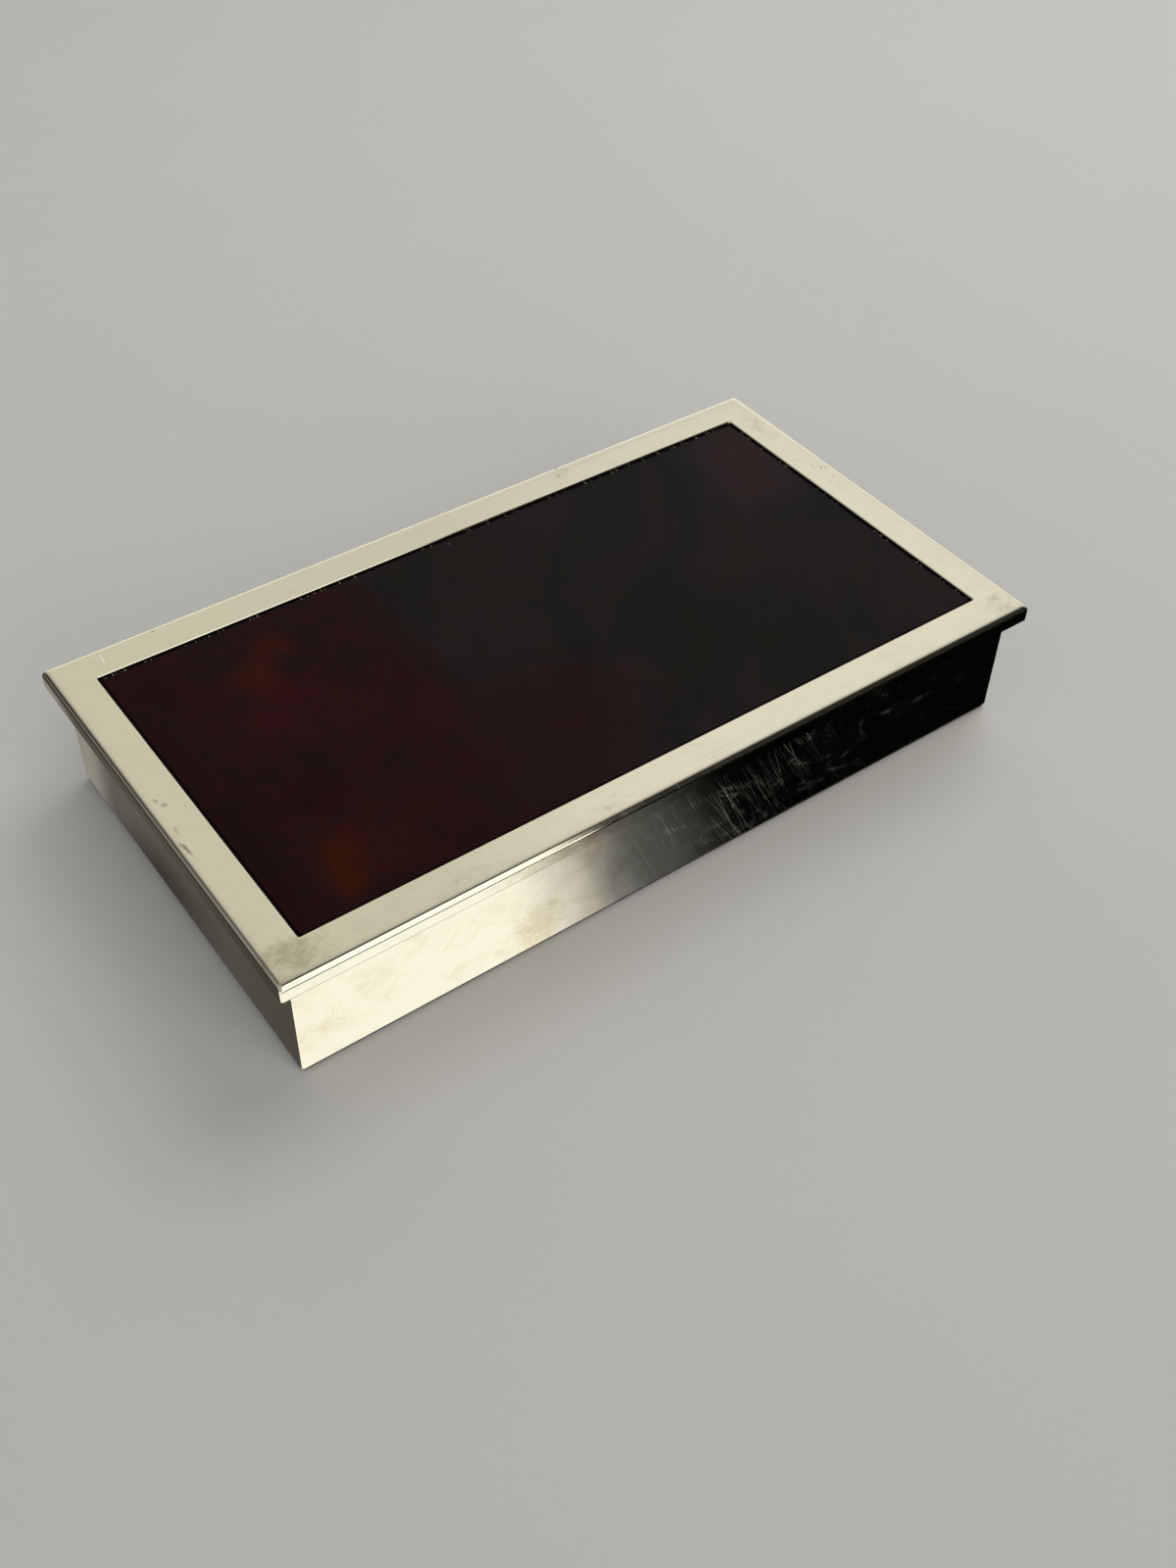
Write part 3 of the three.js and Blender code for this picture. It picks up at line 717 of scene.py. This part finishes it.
def glue_finish(finishes):
    """Dried glue, pale and a little yellow."""
    finish = Finish("glue_crumbs")
    grain = finish.noise(0.35, detail=4.0, rough=0.6)
    return finish.surface(
        base_color=finish.tones(grain, finishes.glue, 0.45, 1.3),
        roughness=0.45 + grain * 0.35,
        normal=finish.bump(grain, 0.05, 0.6),
    )


def mirror_finish(finishes):
    """Silvered glass with a faint haze and a few spots where the silver has gone."""
    finish = Finish("mirror_silvering")
    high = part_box("lid_mirror")[1] * MM
    inside = (high.x - abs(finish.x)).least(high.y - abs(finish.y))
    edge = 1 - inside.rise(1.5, 9)
    bloom = finish.noise((4, 4, 4), detail=5.0, rough=0.7)
    gone = edge * bloom.rise(0.6, 0.7)
    haze = finish.noise((24, 18, 20), detail=4.0, rough=0.6)
    return finish.surface(
        base_color=finish.blend(gone * 0.7, finishes.silvering, (0.12, 0.1, 0.08)),
        metallic=1.0,
        roughness=0.02 + haze.rise(0.5, 0.8) * 0.03 + gone * 0.25,
    )


def brass_finish(name, finishes):
    """Drawn brass, dulled where it isn't rubbed."""
    finish = Finish(name)
    drawn = finish.noise((20, 0.3, 0.3), detail=3.0, rough=0.6)
    patina = finish.noise(9, detail=4.0, rough=0.6).rise(0.4, 0.75)
    rubbed = finish.tones(drawn, finishes.brass, 0.85, 1.1)
    return finish.surface(
        base_color=finish.blend(patina * 0.4, rubbed, (0.2, 0.12, 0.05)),
        metallic=1.0,
        roughness=0.26 + patina * 0.2 + drawn * 0.08,
        normal=finish.bump(drawn, 0.02, 0.4),
    )


# Modelling by hand


def begin_block(name, low, high):
    """Adds a block between two corners, with nothing else selected."""
    low, high = Vector(low), Vector(high)
    bpy.ops.object.select_all(action="DESELECT")
    bpy.ops.mesh.primitive_cube_add(size=1, location=(low + high) / 2, scale=high - low)
    piece = bpy.context.object
    piece.name = piece.data.name = name
    bpy.ops.object.transform_apply(location=True, rotation=True, scale=True)
    return piece


@contextmanager
def editing():
    bpy.ops.object.mode_set(mode="EDIT")
    yield
    bpy.ops.object.mode_set(mode="OBJECT")


def choose(piece):
    """Selects one piece and makes it the active one."""
    bpy.ops.object.select_all(action="DESELECT")
    piece.select_set(True)
    bpy.context.view_layer.objects.active = piece


def faces_up(middle, normal):
    return normal.z > 0.9


def faces_down(middle, normal):
    return normal.z < -0.9


def select_faces(piece, test):
    """Selects the faces whose middle and normal pass a test, and no others."""
    bpy.ops.mesh.select_mode(type="FACE")
    bpy.ops.mesh.select_all(action="DESELECT")
    mesh = bmesh.from_edit_mesh(piece.data)
    mesh.normal_update()
    found = [face for face in mesh.faces if test(face.calc_center_median(), face.normal)]
    if not found:
        raise RuntimeError(f"{piece.name}: no face is where it should be")
    for face in found:
        face.select_set(True)
    bmesh.update_edit_mesh(piece.data)


def select_edges(piece, test):
    """Selects the edges whose middle, direction and faces' normals pass a test, and no others."""
    bpy.ops.mesh.select_mode(type="EDGE")
    bpy.ops.mesh.select_all(action="DESELECT")
    mesh = bmesh.from_edit_mesh(piece.data)
    mesh.normal_update()
    found = []
    for edge in mesh.edges:
        start, end = (vertex.co for vertex in edge.verts)
        normals = [face.normal for face in edge.link_faces]
        if test((start + end) / 2, (end - start).normalized(), normals):
            found.append(edge)
    if not found:
        raise RuntimeError(f"{piece.name}: no edge is where it should be")
    for edge in found:
        edge.select_set(True)
    bmesh.update_edit_mesh(piece.data)


def outward(middle, normal):
    """How far a level normal points away from the box's middle line."""
    return normal.x * middle.x + normal.y * middle.y


def is_outer(middle, normals):
    return sum(outward(middle, normal) for normal in normals) > 0


def round_edges(piece, test, radius, segments, profile=0.5):
    """Rounds edges, to a circle or, with a higher profile, to a softer start and a tighter bend."""
    select_edges(piece, test)
    bpy.ops.mesh.bevel(
        offset=radius,
        segments=segments,
        profile=profile,
        affect="EDGES",
        clamp_overlap=False,
    )


def is_upright(run):
    return abs(run.z) > 0.99


def rim_test(up, out):
    """A test for edges between a level face and an upright one: up or down, outer or inner."""

    def test(middle, run, normals):
        if len(normals) != 2:
            return False
        level = [normal for normal in normals if normal.z * up > 0.9]
        upright = [normal for normal in normals if abs(normal.z) < 0.1]
        return bool(level and upright) and outward(middle, upright[0]) * out > 0

    return test


def ring_test(high, inset):
    """A test for the edges of a level ring, at an inset from the outer edge of the top."""
    reach = high - Vector((inset, inset, 0))

    def test(middle, run, normals):
        on_end = abs(abs(middle.x) - reach.x) < SAME
        on_side = abs(abs(middle.y) - reach.y) < SAME
        return middle.z > high.z - SAME and (on_end or on_side)

    return test


def on_corner(middle, run, normals):
    """Whether an edge is upright and at an outer corner."""
    return is_upright(run) and is_outer(middle, normals)


def push_faces(distance):
    """Extrudes the selected faces up or down."""
    bpy.ops.mesh.extrude_region_move(TRANSFORM_OT_translate={"value": (0, 0, distance)})


def pierce(piece, low, high):
    """Opens a hole between the level faces in the middle, at two heights."""

    def in_middle(middle, normal):
        return middle.xy.length < NEAR and low - NEAR < middle.z < high + NEAR

    select_faces(piece, in_middle)
    bpy.ops.mesh.bridge_edge_loops()


def apply_modifier(piece, kind, **settings):
    modifier = piece.modifiers.new(kind.title(), kind)
    for key, setting in settings.items():
        setattr(modifier, key, setting)
    bpy.context.view_layer.objects.active = piece
    bpy.ops.object.modifier_apply(modifier=modifier.name)


def smooth(piece, degrees=35):
    """Shades the rounded edges smooth and keeps the flats flat."""
    choose(piece)
    bpy.ops.object.shade_smooth_by_angle(angle=math.radians(degrees))
    apply_modifier(piece, "WEIGHTED_NORMAL", keep_sharp=True, weight=100)


def finished(piece, material, body, slot, *nodes):
    """Gives a piece its material and body, and lets it stand for its nodes; its slot is not used.
    """
    piece.data.materials.clear()
    piece.data.materials.append(material)
    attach(piece, body)
    if nodes:
        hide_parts(*nodes)


def carried(names, material):
    """Gives solids that stay as they are a material."""
    for name in names:
        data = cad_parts[name].data
        data.materials.clear()
        data.materials.append(material)


# Operators


class VANITY_BOX_OT_lid_frame(bpy.types.Operator):
    """Model the plated frame of the lid."""

    bl_idname = "vanity_box.lid_frame"
    bl_label = "Lid frame"

    def execute(self, context):
        box = context.scene.vanity_box
        sizes = box.sizes
        low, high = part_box("lid_frame")
        under = high.z - sizes.frame_plate
        eased = sizes.ease_outer + sizes.ease_inner
        window = high.x - sizes.frame_face + NEAR

        def on_mitre(middle, run, normals):
            inset = high - Vector((abs(middle.x), abs(middle.y), middle.z))
            bent = middle.z > low.z + SAME and inset.x < sizes.lid_edge - NEAR
            return is_outer(middle, normals) and bent and abs(inset.x - inset.y) < SAME

        def in_window(middle, run, normals):
            return is_upright(run) and middle.z > under and abs(middle.x) < window

        piece = begin_block("plated_lid_frame", low, high)
        with editing():
            select_faces(piece, faces_down)
            bpy.ops.mesh.inset(thickness=sizes.lip_wall)
            push_faces(under - low.z)
            bpy.ops.mesh.inset(thickness=sizes.frame_face - sizes.lip_wall)
            select_faces(piece, faces_up)
            for width in (sizes.ease_outer, sizes.ease_inner, sizes.frame_face - eased):
                bpy.ops.mesh.inset(thickness=width)
            pierce(piece, under, high.z)
            for inset, drop in ((0, sizes.outer_drop), (sizes.ease_outer, sizes.inner_drop)):
                select_edges(piece, ring_test(high, inset))
                bpy.ops.transform.translate(value=(0, 0, -drop))
            round_edges(piece, rim_test(1, 1), sizes.lid_edge, 14, 0.6)
            round_edges(piece, on_mitre, sizes.lid_corner, 6)
            round_edges(piece, in_window, sizes.window_corner, 6)
            round_edges(piece, rim_test(1, -1), sizes.window_edge, 4)
            round_edges(piece, rim_test(-1, 1), sizes.lip_foot, 4)
        smooth(piece)
        finished(piece, lid_frame_finish(box.finishes), "lid", "nickel", "lid_frame")
        return {"FINISHED"}


class VANITY_BOX_OT_case_band(bpy.types.Operator):
    """Model the plated walls of the case, with the foot and the notch for the hinge."""

    bl_idname = "vanity_box.case_band"
    bl_label = "Case walls"

    def execute(self, context):
        box = context.scene.vanity_box
        sizes = box.sizes
        low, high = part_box("case_band")
        leaf_low, leaf_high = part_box("case_hinge_leaf")
        floor = low.z + sizes.case_sheet
        past = 0.003

        def on_wall_corner(middle, run, normals):
            inset = high - Vector((abs(middle.x), abs(middle.y), 0))
            return is_upright(run) and abs(inset.x) < NEAR and abs(inset.y) < NEAR

        piece = begin_block("plated_case_band", low, high)
        with editing():
            select_faces(piece, faces_up)
            bpy.ops.mesh.inset(thickness=sizes.case_sheet)
            push_faces(floor - high.z)
            bpy.ops.mesh.inset(thickness=sizes.case_foot - sizes.case_sheet)
            select_faces(piece, faces_down)
            bpy.ops.mesh.inset(thickness=sizes.case_foot)
            pierce(piece, low.z, floor)
        notch = begin_block(
            "notch",
            (leaf_low.x - sizes.hinge_room, high.y - past, high.z - sizes.hinge_notch),
            (leaf_high.x + sizes.hinge_room, high.y + past, high.z + past),
        )
        apply_modifier(piece, "BOOLEAN", operation="DIFFERENCE", object=notch, solver="EXACT")
        bpy.data.objects.remove(notch)
        choose(piece)
        with editing():
            round_edges(piece, on_wall_corner, sizes.case_corner, 8)
            round_edges(piece, rim_test(-1, 1), sizes.case_foot_edge, 6)
            round_edges(piece, rim_test(1, 1), sizes.case_rim, 3)
        smooth(piece)
        finished(piece, case_band_finish(box.finishes), "case", "nickel", "case_band")
        return {"FINISHED"}


class VANITY_BOX_OT_panel(bpy.types.Operator):
    """Model the tortoiseshell panel with its eased edges."""

    bl_idname = "vanity_box.panel"
    bl_label = "Tortoiseshell panel"

    def execute(self, context):
        box = context.scene.vanity_box
        sizes = box.sizes
        piece = begin_block("tortoiseshell_sheet", *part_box("tortoiseshell_panel"))
        with editing():
            round_edges(piece, on_corner, sizes.window_corner, 6)
            round_edges(piece, rim_test(1, 1), sizes.panel_edge, 5)
        smooth(piece)
        material = tortoiseshell_finish(box.finishes)
        finished(piece, material, "lid", "tortoiseshell", "tortoiseshell_panel")
        return {"FINISHED"}


class VANITY_BOX_OT_bedding(bpy.types.Operator):
    """Finish the black bedding round the panel and model the crumbs of glue on it."""

    bl_idname = "vanity_box.bedding"
    bl_label = "Bedding and glue crumbs"

    def execute(self, context):
        box = context.scene.vanity_box
        sizes = box.sizes
        carried(["panel_bedding"], adhesive_finish(box.finishes))
        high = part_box("panel_bedding")[1]
        middle = (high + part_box("tortoiseshell_panel")[1]) / 2
        chance = random.Random(5)
        pattern = self.crumb()
        crumbs = []
        for _ in range(sizes.back_crumbs):
            crumbs.append((chance.uniform(-0.99, 0.99) * middle.x, middle.y, 0))
        for _ in range(sizes.end_crumbs):
            crumbs.append((middle.x, chance.uniform(-0.98, 0.98) * middle.y, 90))
        bpy.ops.object.select_all(action="DESELECT")
        for x, y, turn in crumbs:
            tall = chance.uniform(0.06, 0.13) / MM
            wide = chance.uniform(0.08, 0.17) / MM
            long = wide * chance.uniform(1.0, 2.6)
            copy = pattern.copy()
            copy.data = pattern.data.copy()
            context.collection.objects.link(copy)
            aside = chance.uniform(-0.06, 0.06) / MM
            if turn:
                x += aside
            else:
                y += aside
            copy.location = (x, y, high.z + tall)
            copy.rotation_euler = (0, 0, math.radians(turn + chance.uniform(-14, 14)))
            copy.scale = (long, wide, tall)
            copy.select_set(True)
            context.view_layer.objects.active = copy
        bpy.data.objects.remove(pattern)
        bpy.ops.object.join()
        piece = context.object
        piece.name = piece.data.name = "glue_crumbs"
        bpy.ops.object.transform_apply(location=True, rotation=True, scale=True)
        finished(piece, glue_finish(box.finishes), "lid", "adhesive")
        return {"FINISHED"}

    def crumb(self):
        """One crumb, a ball one unit in radius with its skin knocked about."""
        bpy.ops.object.select_all(action="DESELECT")
        bpy.ops.mesh.primitive_ico_sphere_add(subdivisions=2, radius=1)
        with editing():
            bpy.ops.transform.vertex_random(offset=0.22, uniform=0.6, normal=0.4, seed=4)
            bpy.ops.transform.resize(value=(0.85, 0.85, 0.85), center_override=(0, 0, 0))
        return bpy.context.object


class VANITY_BOX_OT_floor_pad(bpy.types.Operator):
    """Model the suede pad on the floor of the case, with its sewn border."""

    bl_idname = "vanity_box.floor_pad"
    bl_label = "Floor pad"

    def execute(self, context):
        box = context.scene.vanity_box
        sizes = box.sizes
        low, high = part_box("floor_pad")
        seam = high - Vector((sizes.pad_border, sizes.pad_border, 0))
        seam_reach, crown_top, crown_reach = 0.0013, 0.006, 0.07
        cuts_along, cuts_across = 87, 43

        def on_seam(middle, normal):
            across = max(abs(middle.x) - seam.x, abs(middle.y) - seam.y)
            return faces_up(middle, normal) and abs(across) < seam_reach

        def near_middle(middle, normal):
            return faces_up(middle, normal) and middle.xy.length < crown_top

        piece = begin_block("suede_floor_pad", low, high)
        with editing():
            select_edges(piece, lambda middle, run, normals: abs(run.x) > 0.99)
            bpy.ops.mesh.subdivide(number_cuts=cuts_along)
            select_edges(piece, lambda middle, run, normals: abs(run.y) > 0.99)
            bpy.ops.mesh.subdivide(number_cuts=cuts_across)
            select_faces(piece, on_seam)
            bpy.ops.transform.translate(value=(0, 0, -sizes.pad_seam))
            select_faces(piece, near_middle)
            bpy.ops.transform.translate(
                value=(0, 0, sizes.pad_crown),
                use_proportional_edit=True,
                proportional_edit_falloff="SMOOTH",
                proportional_size=crown_reach,
                use_proportional_connected=True,
            )
            round_edges(piece, rim_test(1, 1), sizes.pad_edge, 3)
        apply_modifier(piece, "SUBSURF", levels=1, render_levels=1)
        bpy.ops.object.shade_smooth()
        material = suede_finish(box.finishes, sizes.pad_border)
        finished(piece, material, "case", "suede", "floor_pad")
        return {"FINISHED"}


class VANITY_BOX_OT_base_felt(bpy.types.Operator):
    """Model the felt under the case, with a slightly ragged cut edge."""

    bl_idname = "vanity_box.base_felt"
    bl_label = "Base felt"

    def execute(self, context):
        box = context.scene.vanity_box
        sizes = box.sizes
        low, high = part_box("base_pad")
        shoulder = high.z - sizes.felt_edge

        def on_edge(middle, run, normals):
            return abs(run.z) < 0.1 and any(abs(normal.z) < 0.95 for normal in normals)

        def on_shoulder(middle, run, normals):
            return abs(run.z) < 0.1 and abs(middle.z - shoulder) < NEAR

        piece = begin_block("base_felt", low, high)
        with editing():
            round_edges(piece, on_corner, sizes.case_corner, 4)
            round_edges(piece, rim_test(1, 1), sizes.felt_edge, 3)
            select_edges(piece, on_edge)
            bpy.ops.mesh.subdivide(number_cuts=90)
            select_edges(piece, on_shoulder)
            bpy.ops.transform.vertex_random(offset=sizes.felt_fray, uniform=0.3, normal=0.0, seed=9)
        smooth(piece, 50)
        finished(piece, felt_finish(box.finishes), "case", "felt", "base_pad")
        return {"FINISHED"}


class VANITY_BOX_OT_wood(bpy.types.Operator):
    """Finish the liners, the beads, the lid board and the bottom board."""

    bl_idname = "vanity_box.wood"
    bl_label = "Wooden pieces"

    def execute(self, context):
        finishes = context.scene.vanity_box.finishes
        lengthways = mahogany_finish("mahogany_lengthways", finishes, "X")
        crossways = mahogany_finish("mahogany_crossways", finishes, "Y")
        for name in (*LINERS, *BEADS, "lid_board"):
            at_end = name.endswith(("_left", "_right"))
            carried([name], crossways if at_end else lengthways)
        carried(["bottom_board"], plywood_finish(finishes))
        return {"FINISHED"}


class VANITY_BOX_OT_mirror(bpy.types.Operator):
    """Finish the mirror under the lid."""

    bl_idname = "vanity_box.mirror"
    bl_label = "Mirror"

    def execute(self, context):
        carried(["lid_mirror"], mirror_finish(context.scene.vanity_box.finishes))
        return {"FINISHED"}


class VANITY_BOX_OT_hinge(bpy.types.Operator):
    """Finish the hinge's leaves, pin and screws."""

    bl_idname = "vanity_box.hinge"
    bl_label = "Hinge and screws"

    def execute(self, context):
        finishes = context.scene.vanity_box.finishes
        carried([*LEAVES, "hinge_pin"], brass_finish("hinge_brass", finishes))
        carried(SCREWS, brass_finish("screw_brass", finishes))
        return {"FINISHED"}


class VANITY_BOX_OT_stage(bpy.types.Operator):
    """Set the floor, the light and the camera."""

    bl_idname = "vanity_box.stage"
    bl_label = "Stage"

    def execute(self, context):
        stage = context.scene.vanity_box.stage
        context.scene.view_settings.view_transform = "Standard"
        self.floor(stage)
        self.cards()
        self.sky(context.scene)
        self.key_light(context, stage)
        self.camera(context, stage)
        return {"FINISHED"}

    def floor(self, stage):
        finish = Finish("pale_floor")
        mottle = finish.noise(90, detail=3.0)
        floor = begin_block("floor", (-30, -30, -0.02), (30, 30, 0))
        with editing():
            round_edges(floor, rim_test(1, 1), 0.01, 2)
        shade = finish.tones(mottle, stage.floor, 0.985, 1.015)
        matt = finish.surface(base_color=shade, roughness=0.8, specular_ior_level=0.0)
        floor.data.materials.append(matt)

    def cards(self):
        """Glowing cards on the floor that only reflections see: painted reflections for the plated
        walls and the lid's edges to show.
        """
        front = Finish("front_card")
        ripple = front.noise((14, 9, 10), (0, 0, -50), detail=3.0)
        away = -front.y
        lip = away.rise(89.5, 91.5)
        across = front.x + (front.y + 62) * 0.42 - 4.2 + (ripple - 0.5) * 12 + lip * 6.3
        # mask for the painted highlight on the left part of the lid's front edge
        lit = 1 - (front.x + (front.y + 66) * 0.46).rise(-37, -25)
        # painted dark line under the lid's front edge
        gap = front.blend(lit, (0.006, 0.006, 0.005), (0.08, 0.078, 0.074))
        # painted highlight along the lid's front edge
        edge = front.blend(lit, (0.014, 0.013, 0.011), (2.4, 2.4, 2.4))
        # painted reflections for the front wall: dark to the right, grey between, bright cream to
        # the left
        seen = front.layers(
            (0.0016, 0.0017, 0.0017),
            (1 - across.rise(-32, 22), (0.168, 0.173, 0.18)),
            (1 - across.rise(-60, -14), (1.45, 1.46, 1.5)),
            (away.rise(104, 108), gap),
            (away.rise(140, 150), edge),
        )
        self.card(front, seen, (-0.3, -4), (4, -0.0616))

        left = Finish("left_card")
        out = -left.x
        along = left.y.rise(-62, 64)
        back = (left.y - (out - 117) * 3).rise(44, 62)
        wall = left.blend(along, (0.09, 0.086, 0.08), (0.15, 0.143, 0.139))
        lip = left.blend(along, (0.066, 0.063, 0.059), (0.11, 0.105, 0.102))
        # painted reflections for the left wall and lip
        seen = left.layers(
            wall,
            # painted shadow reflected in the middle of the left wall
            (left.spot((-116, 14, 0), (8, 42, 5)) * 0.75, (0.03, 0.027, 0.023)),
            (out.rise(126, 128.5), lip),
            (back * (1 - out.rise(127, 135) * 0.5), (0.35, 0.34, 0.315)),
            (out.rise(145, 165), (0.06, 0.056, 0.053)),
        )
        self.card(left, seen, (-4, -0.0614), (-0.1156, 4))

        right = Finish("right_card")
        # painted reflection: dark beside the right wall's front end, grey further back
        seen = right.blend(right.y.rise(-50, -20), (0.004, 0.004, 0.004), (0.2, 0.2, 0.2))
        self.card(right, seen, (0.1168, -0.0614), (0.18, -0.02))

        # painted reflections of the floor farther off, brighter with distance
        for name, low, high in (
            ("far_card", (-0.1154, 0.17), (4, 4)),
            ("far_side_card", (0.19, -0.0614), (4, 0.1698)),
        ):
            far = Finish(name)
            distant = far.x.most(far.y).rise(180, 500)
            seen = far.blend(distant, (0.4, 0.392, 0.37), (0.66, 0.65, 0.62))
            self.card(far, seen, low, high)

    def card(self, finish, seen, low, high):
        """One card between two corners in plan, shining with the colours seen in reflections."""
        under, top = CARD_SIDES
        card = begin_block(finish.material.name, (*low, under), (*high, top))
        with editing():
            round_edges(card, rim_test(1, 1), 0.0001, 1)
        lit = finish.node("Emission", None, {"Color": seen})
        finish.join(finish.tree.nodes["Material Output"], {"Surface": lit})
        card.data.materials.append(finish.material)
        for ray in ("camera", "diffuse", "transmission", "volume_scatter", "shadow"):
            setattr(card, f"visible_{ray}", False)

    def sky(self, scene):
        """A soft studio sky: a pale wall at the back right, a bright front, and dim between."""
        scene.world = bpy.data.worlds.new("studio")
        scene.world.use_nodes = True
        nodes = Nodes(scene.world.node_tree)
        way = nodes.node("TexCoord", output="Generated")
        x = nodes.node("SeparateXYZ", None, {0: way})
        y = x.output("Y")
        z = x.output("Z")
        aim = {0: way, 1: (0.56, 0.5, 0.66)}
        nearly = nodes.node("VectorMath", {"operation": "DOT_PRODUCT"}, aim, "Value")
        right = x.rise(-0.3, 0.22)
        back = (y + x * 0.35).rise(0.1, 0.7)
        low = 1 - z.rise(0.4, 0.5)
        wall = right * back * (0.83 + nearly.rise(0.963, 0.998) * 0.22 + low * 0.4)
        window = x.rise(-0.3, -0.2) * (1 - x.rise(0.385, 0.415))
        front = window * (-y).rise(0.12, 0.27) * z.rise(0.06, 0.18) * 1.9
        side = (1 - right) * (1 - back) * 0.5 + (-x).rise(0.5, 0.7) * back * 0.1
        warm = right * back * (1 - x.rise(0.15, 0.5))
        tint = nodes.blend(warm, (1, 1, 1), (1, 0.985, 0.92))
        background = scene.world.node_tree.nodes["Background"]
        nodes.join(background, {"Color": tint, "Strength": 0.03 + wall + front + side})

    def key_light(self, context, stage):
        lamp = bpy.data.lights.new("key", "AREA")
        lamp.shape = "DISK"
        lamp.size = 0.9
        lamp.energy = stage.key_power
        key = bpy.data.objects.new("key", lamp)
        context.collection.objects.link(key)
        key.location = (0.75, 0.2, 1.0)
        key.rotation_euler = key.location.to_track_quat("Z", "Y").to_euler()
        key.visible_glossy = False

    def camera(self, context, stage):
        eye = Vector((-0.20961, -0.29862, 0.34664))
        right = Vector((0.8103, -0.58573, 0.01839))
        down = Vector((-0.40346, -0.58034, -0.7074))
        forward = Vector((0.42502, 0.56578, -0.70657))
        lens = bpy.data.cameras.new("camera")
        lens.lens = stage.lens
        lens.sensor_width = 36
        lens.clip_start = 0.01
        camera = bpy.data.objects.new("camera", lens)
        context.collection.objects.link(camera)
        turn = Matrix((right, -down, -forward)).transposed()
        camera.matrix_world = Matrix.Translation(eye) @ turn.to_4x4()
        context.scene.camera = camera


PIECES = (
    VANITY_BOX_OT_lid_frame,
    VANITY_BOX_OT_case_band,
    VANITY_BOX_OT_panel,
    VANITY_BOX_OT_bedding,
    VANITY_BOX_OT_floor_pad,
    VANITY_BOX_OT_base_felt,
    VANITY_BOX_OT_wood,
    VANITY_BOX_OT_mirror,
    VANITY_BOX_OT_hinge,
    VANITY_BOX_OT_stage,
)


class VANITY_BOX_PT_panel(bpy.types.Panel):
    """Lists the operators and the settings."""

    bl_idname = "VANITY_BOX_PT_panel"
    bl_label = "Vanity box"
    bl_space_type = "VIEW_3D"
    bl_region_type = "UI"
    bl_category = "Vanity box"

    def draw(self, context):
        column = self.layout.column()
        for piece in PIECES:
            column.operator(piece.bl_idname)
        box = context.scene.vanity_box
        for group in (box.sizes, box.finishes, box.stage):
            for name in group.bl_rna.properties.keys():
                if name not in {"rna_type", "name"}:
                    column.prop(group, name)


CLASSES = (BoxSizes, BoxFinishes, BoxStage, VanityBox, *PIECES, VANITY_BOX_PT_panel)


def register():
    for entry in CLASSES:
        bpy.utils.register_class(entry)
    bpy.types.Scene.vanity_box = PointerProperty(
        type=VanityBox, name="Vanity box", description="Settings of the vanity box"
    )


def unregister():
    del bpy.types.Scene.vanity_box
    for entry in reversed(CLASSES):
        bpy.utils.unregister_class(entry)


def main():
    register()
    for piece in PIECES:
        group, name = piece.bl_idname.split(".")
        getattr(getattr(bpy.ops, group), name)()


if __name__ == "__main__":
    main()
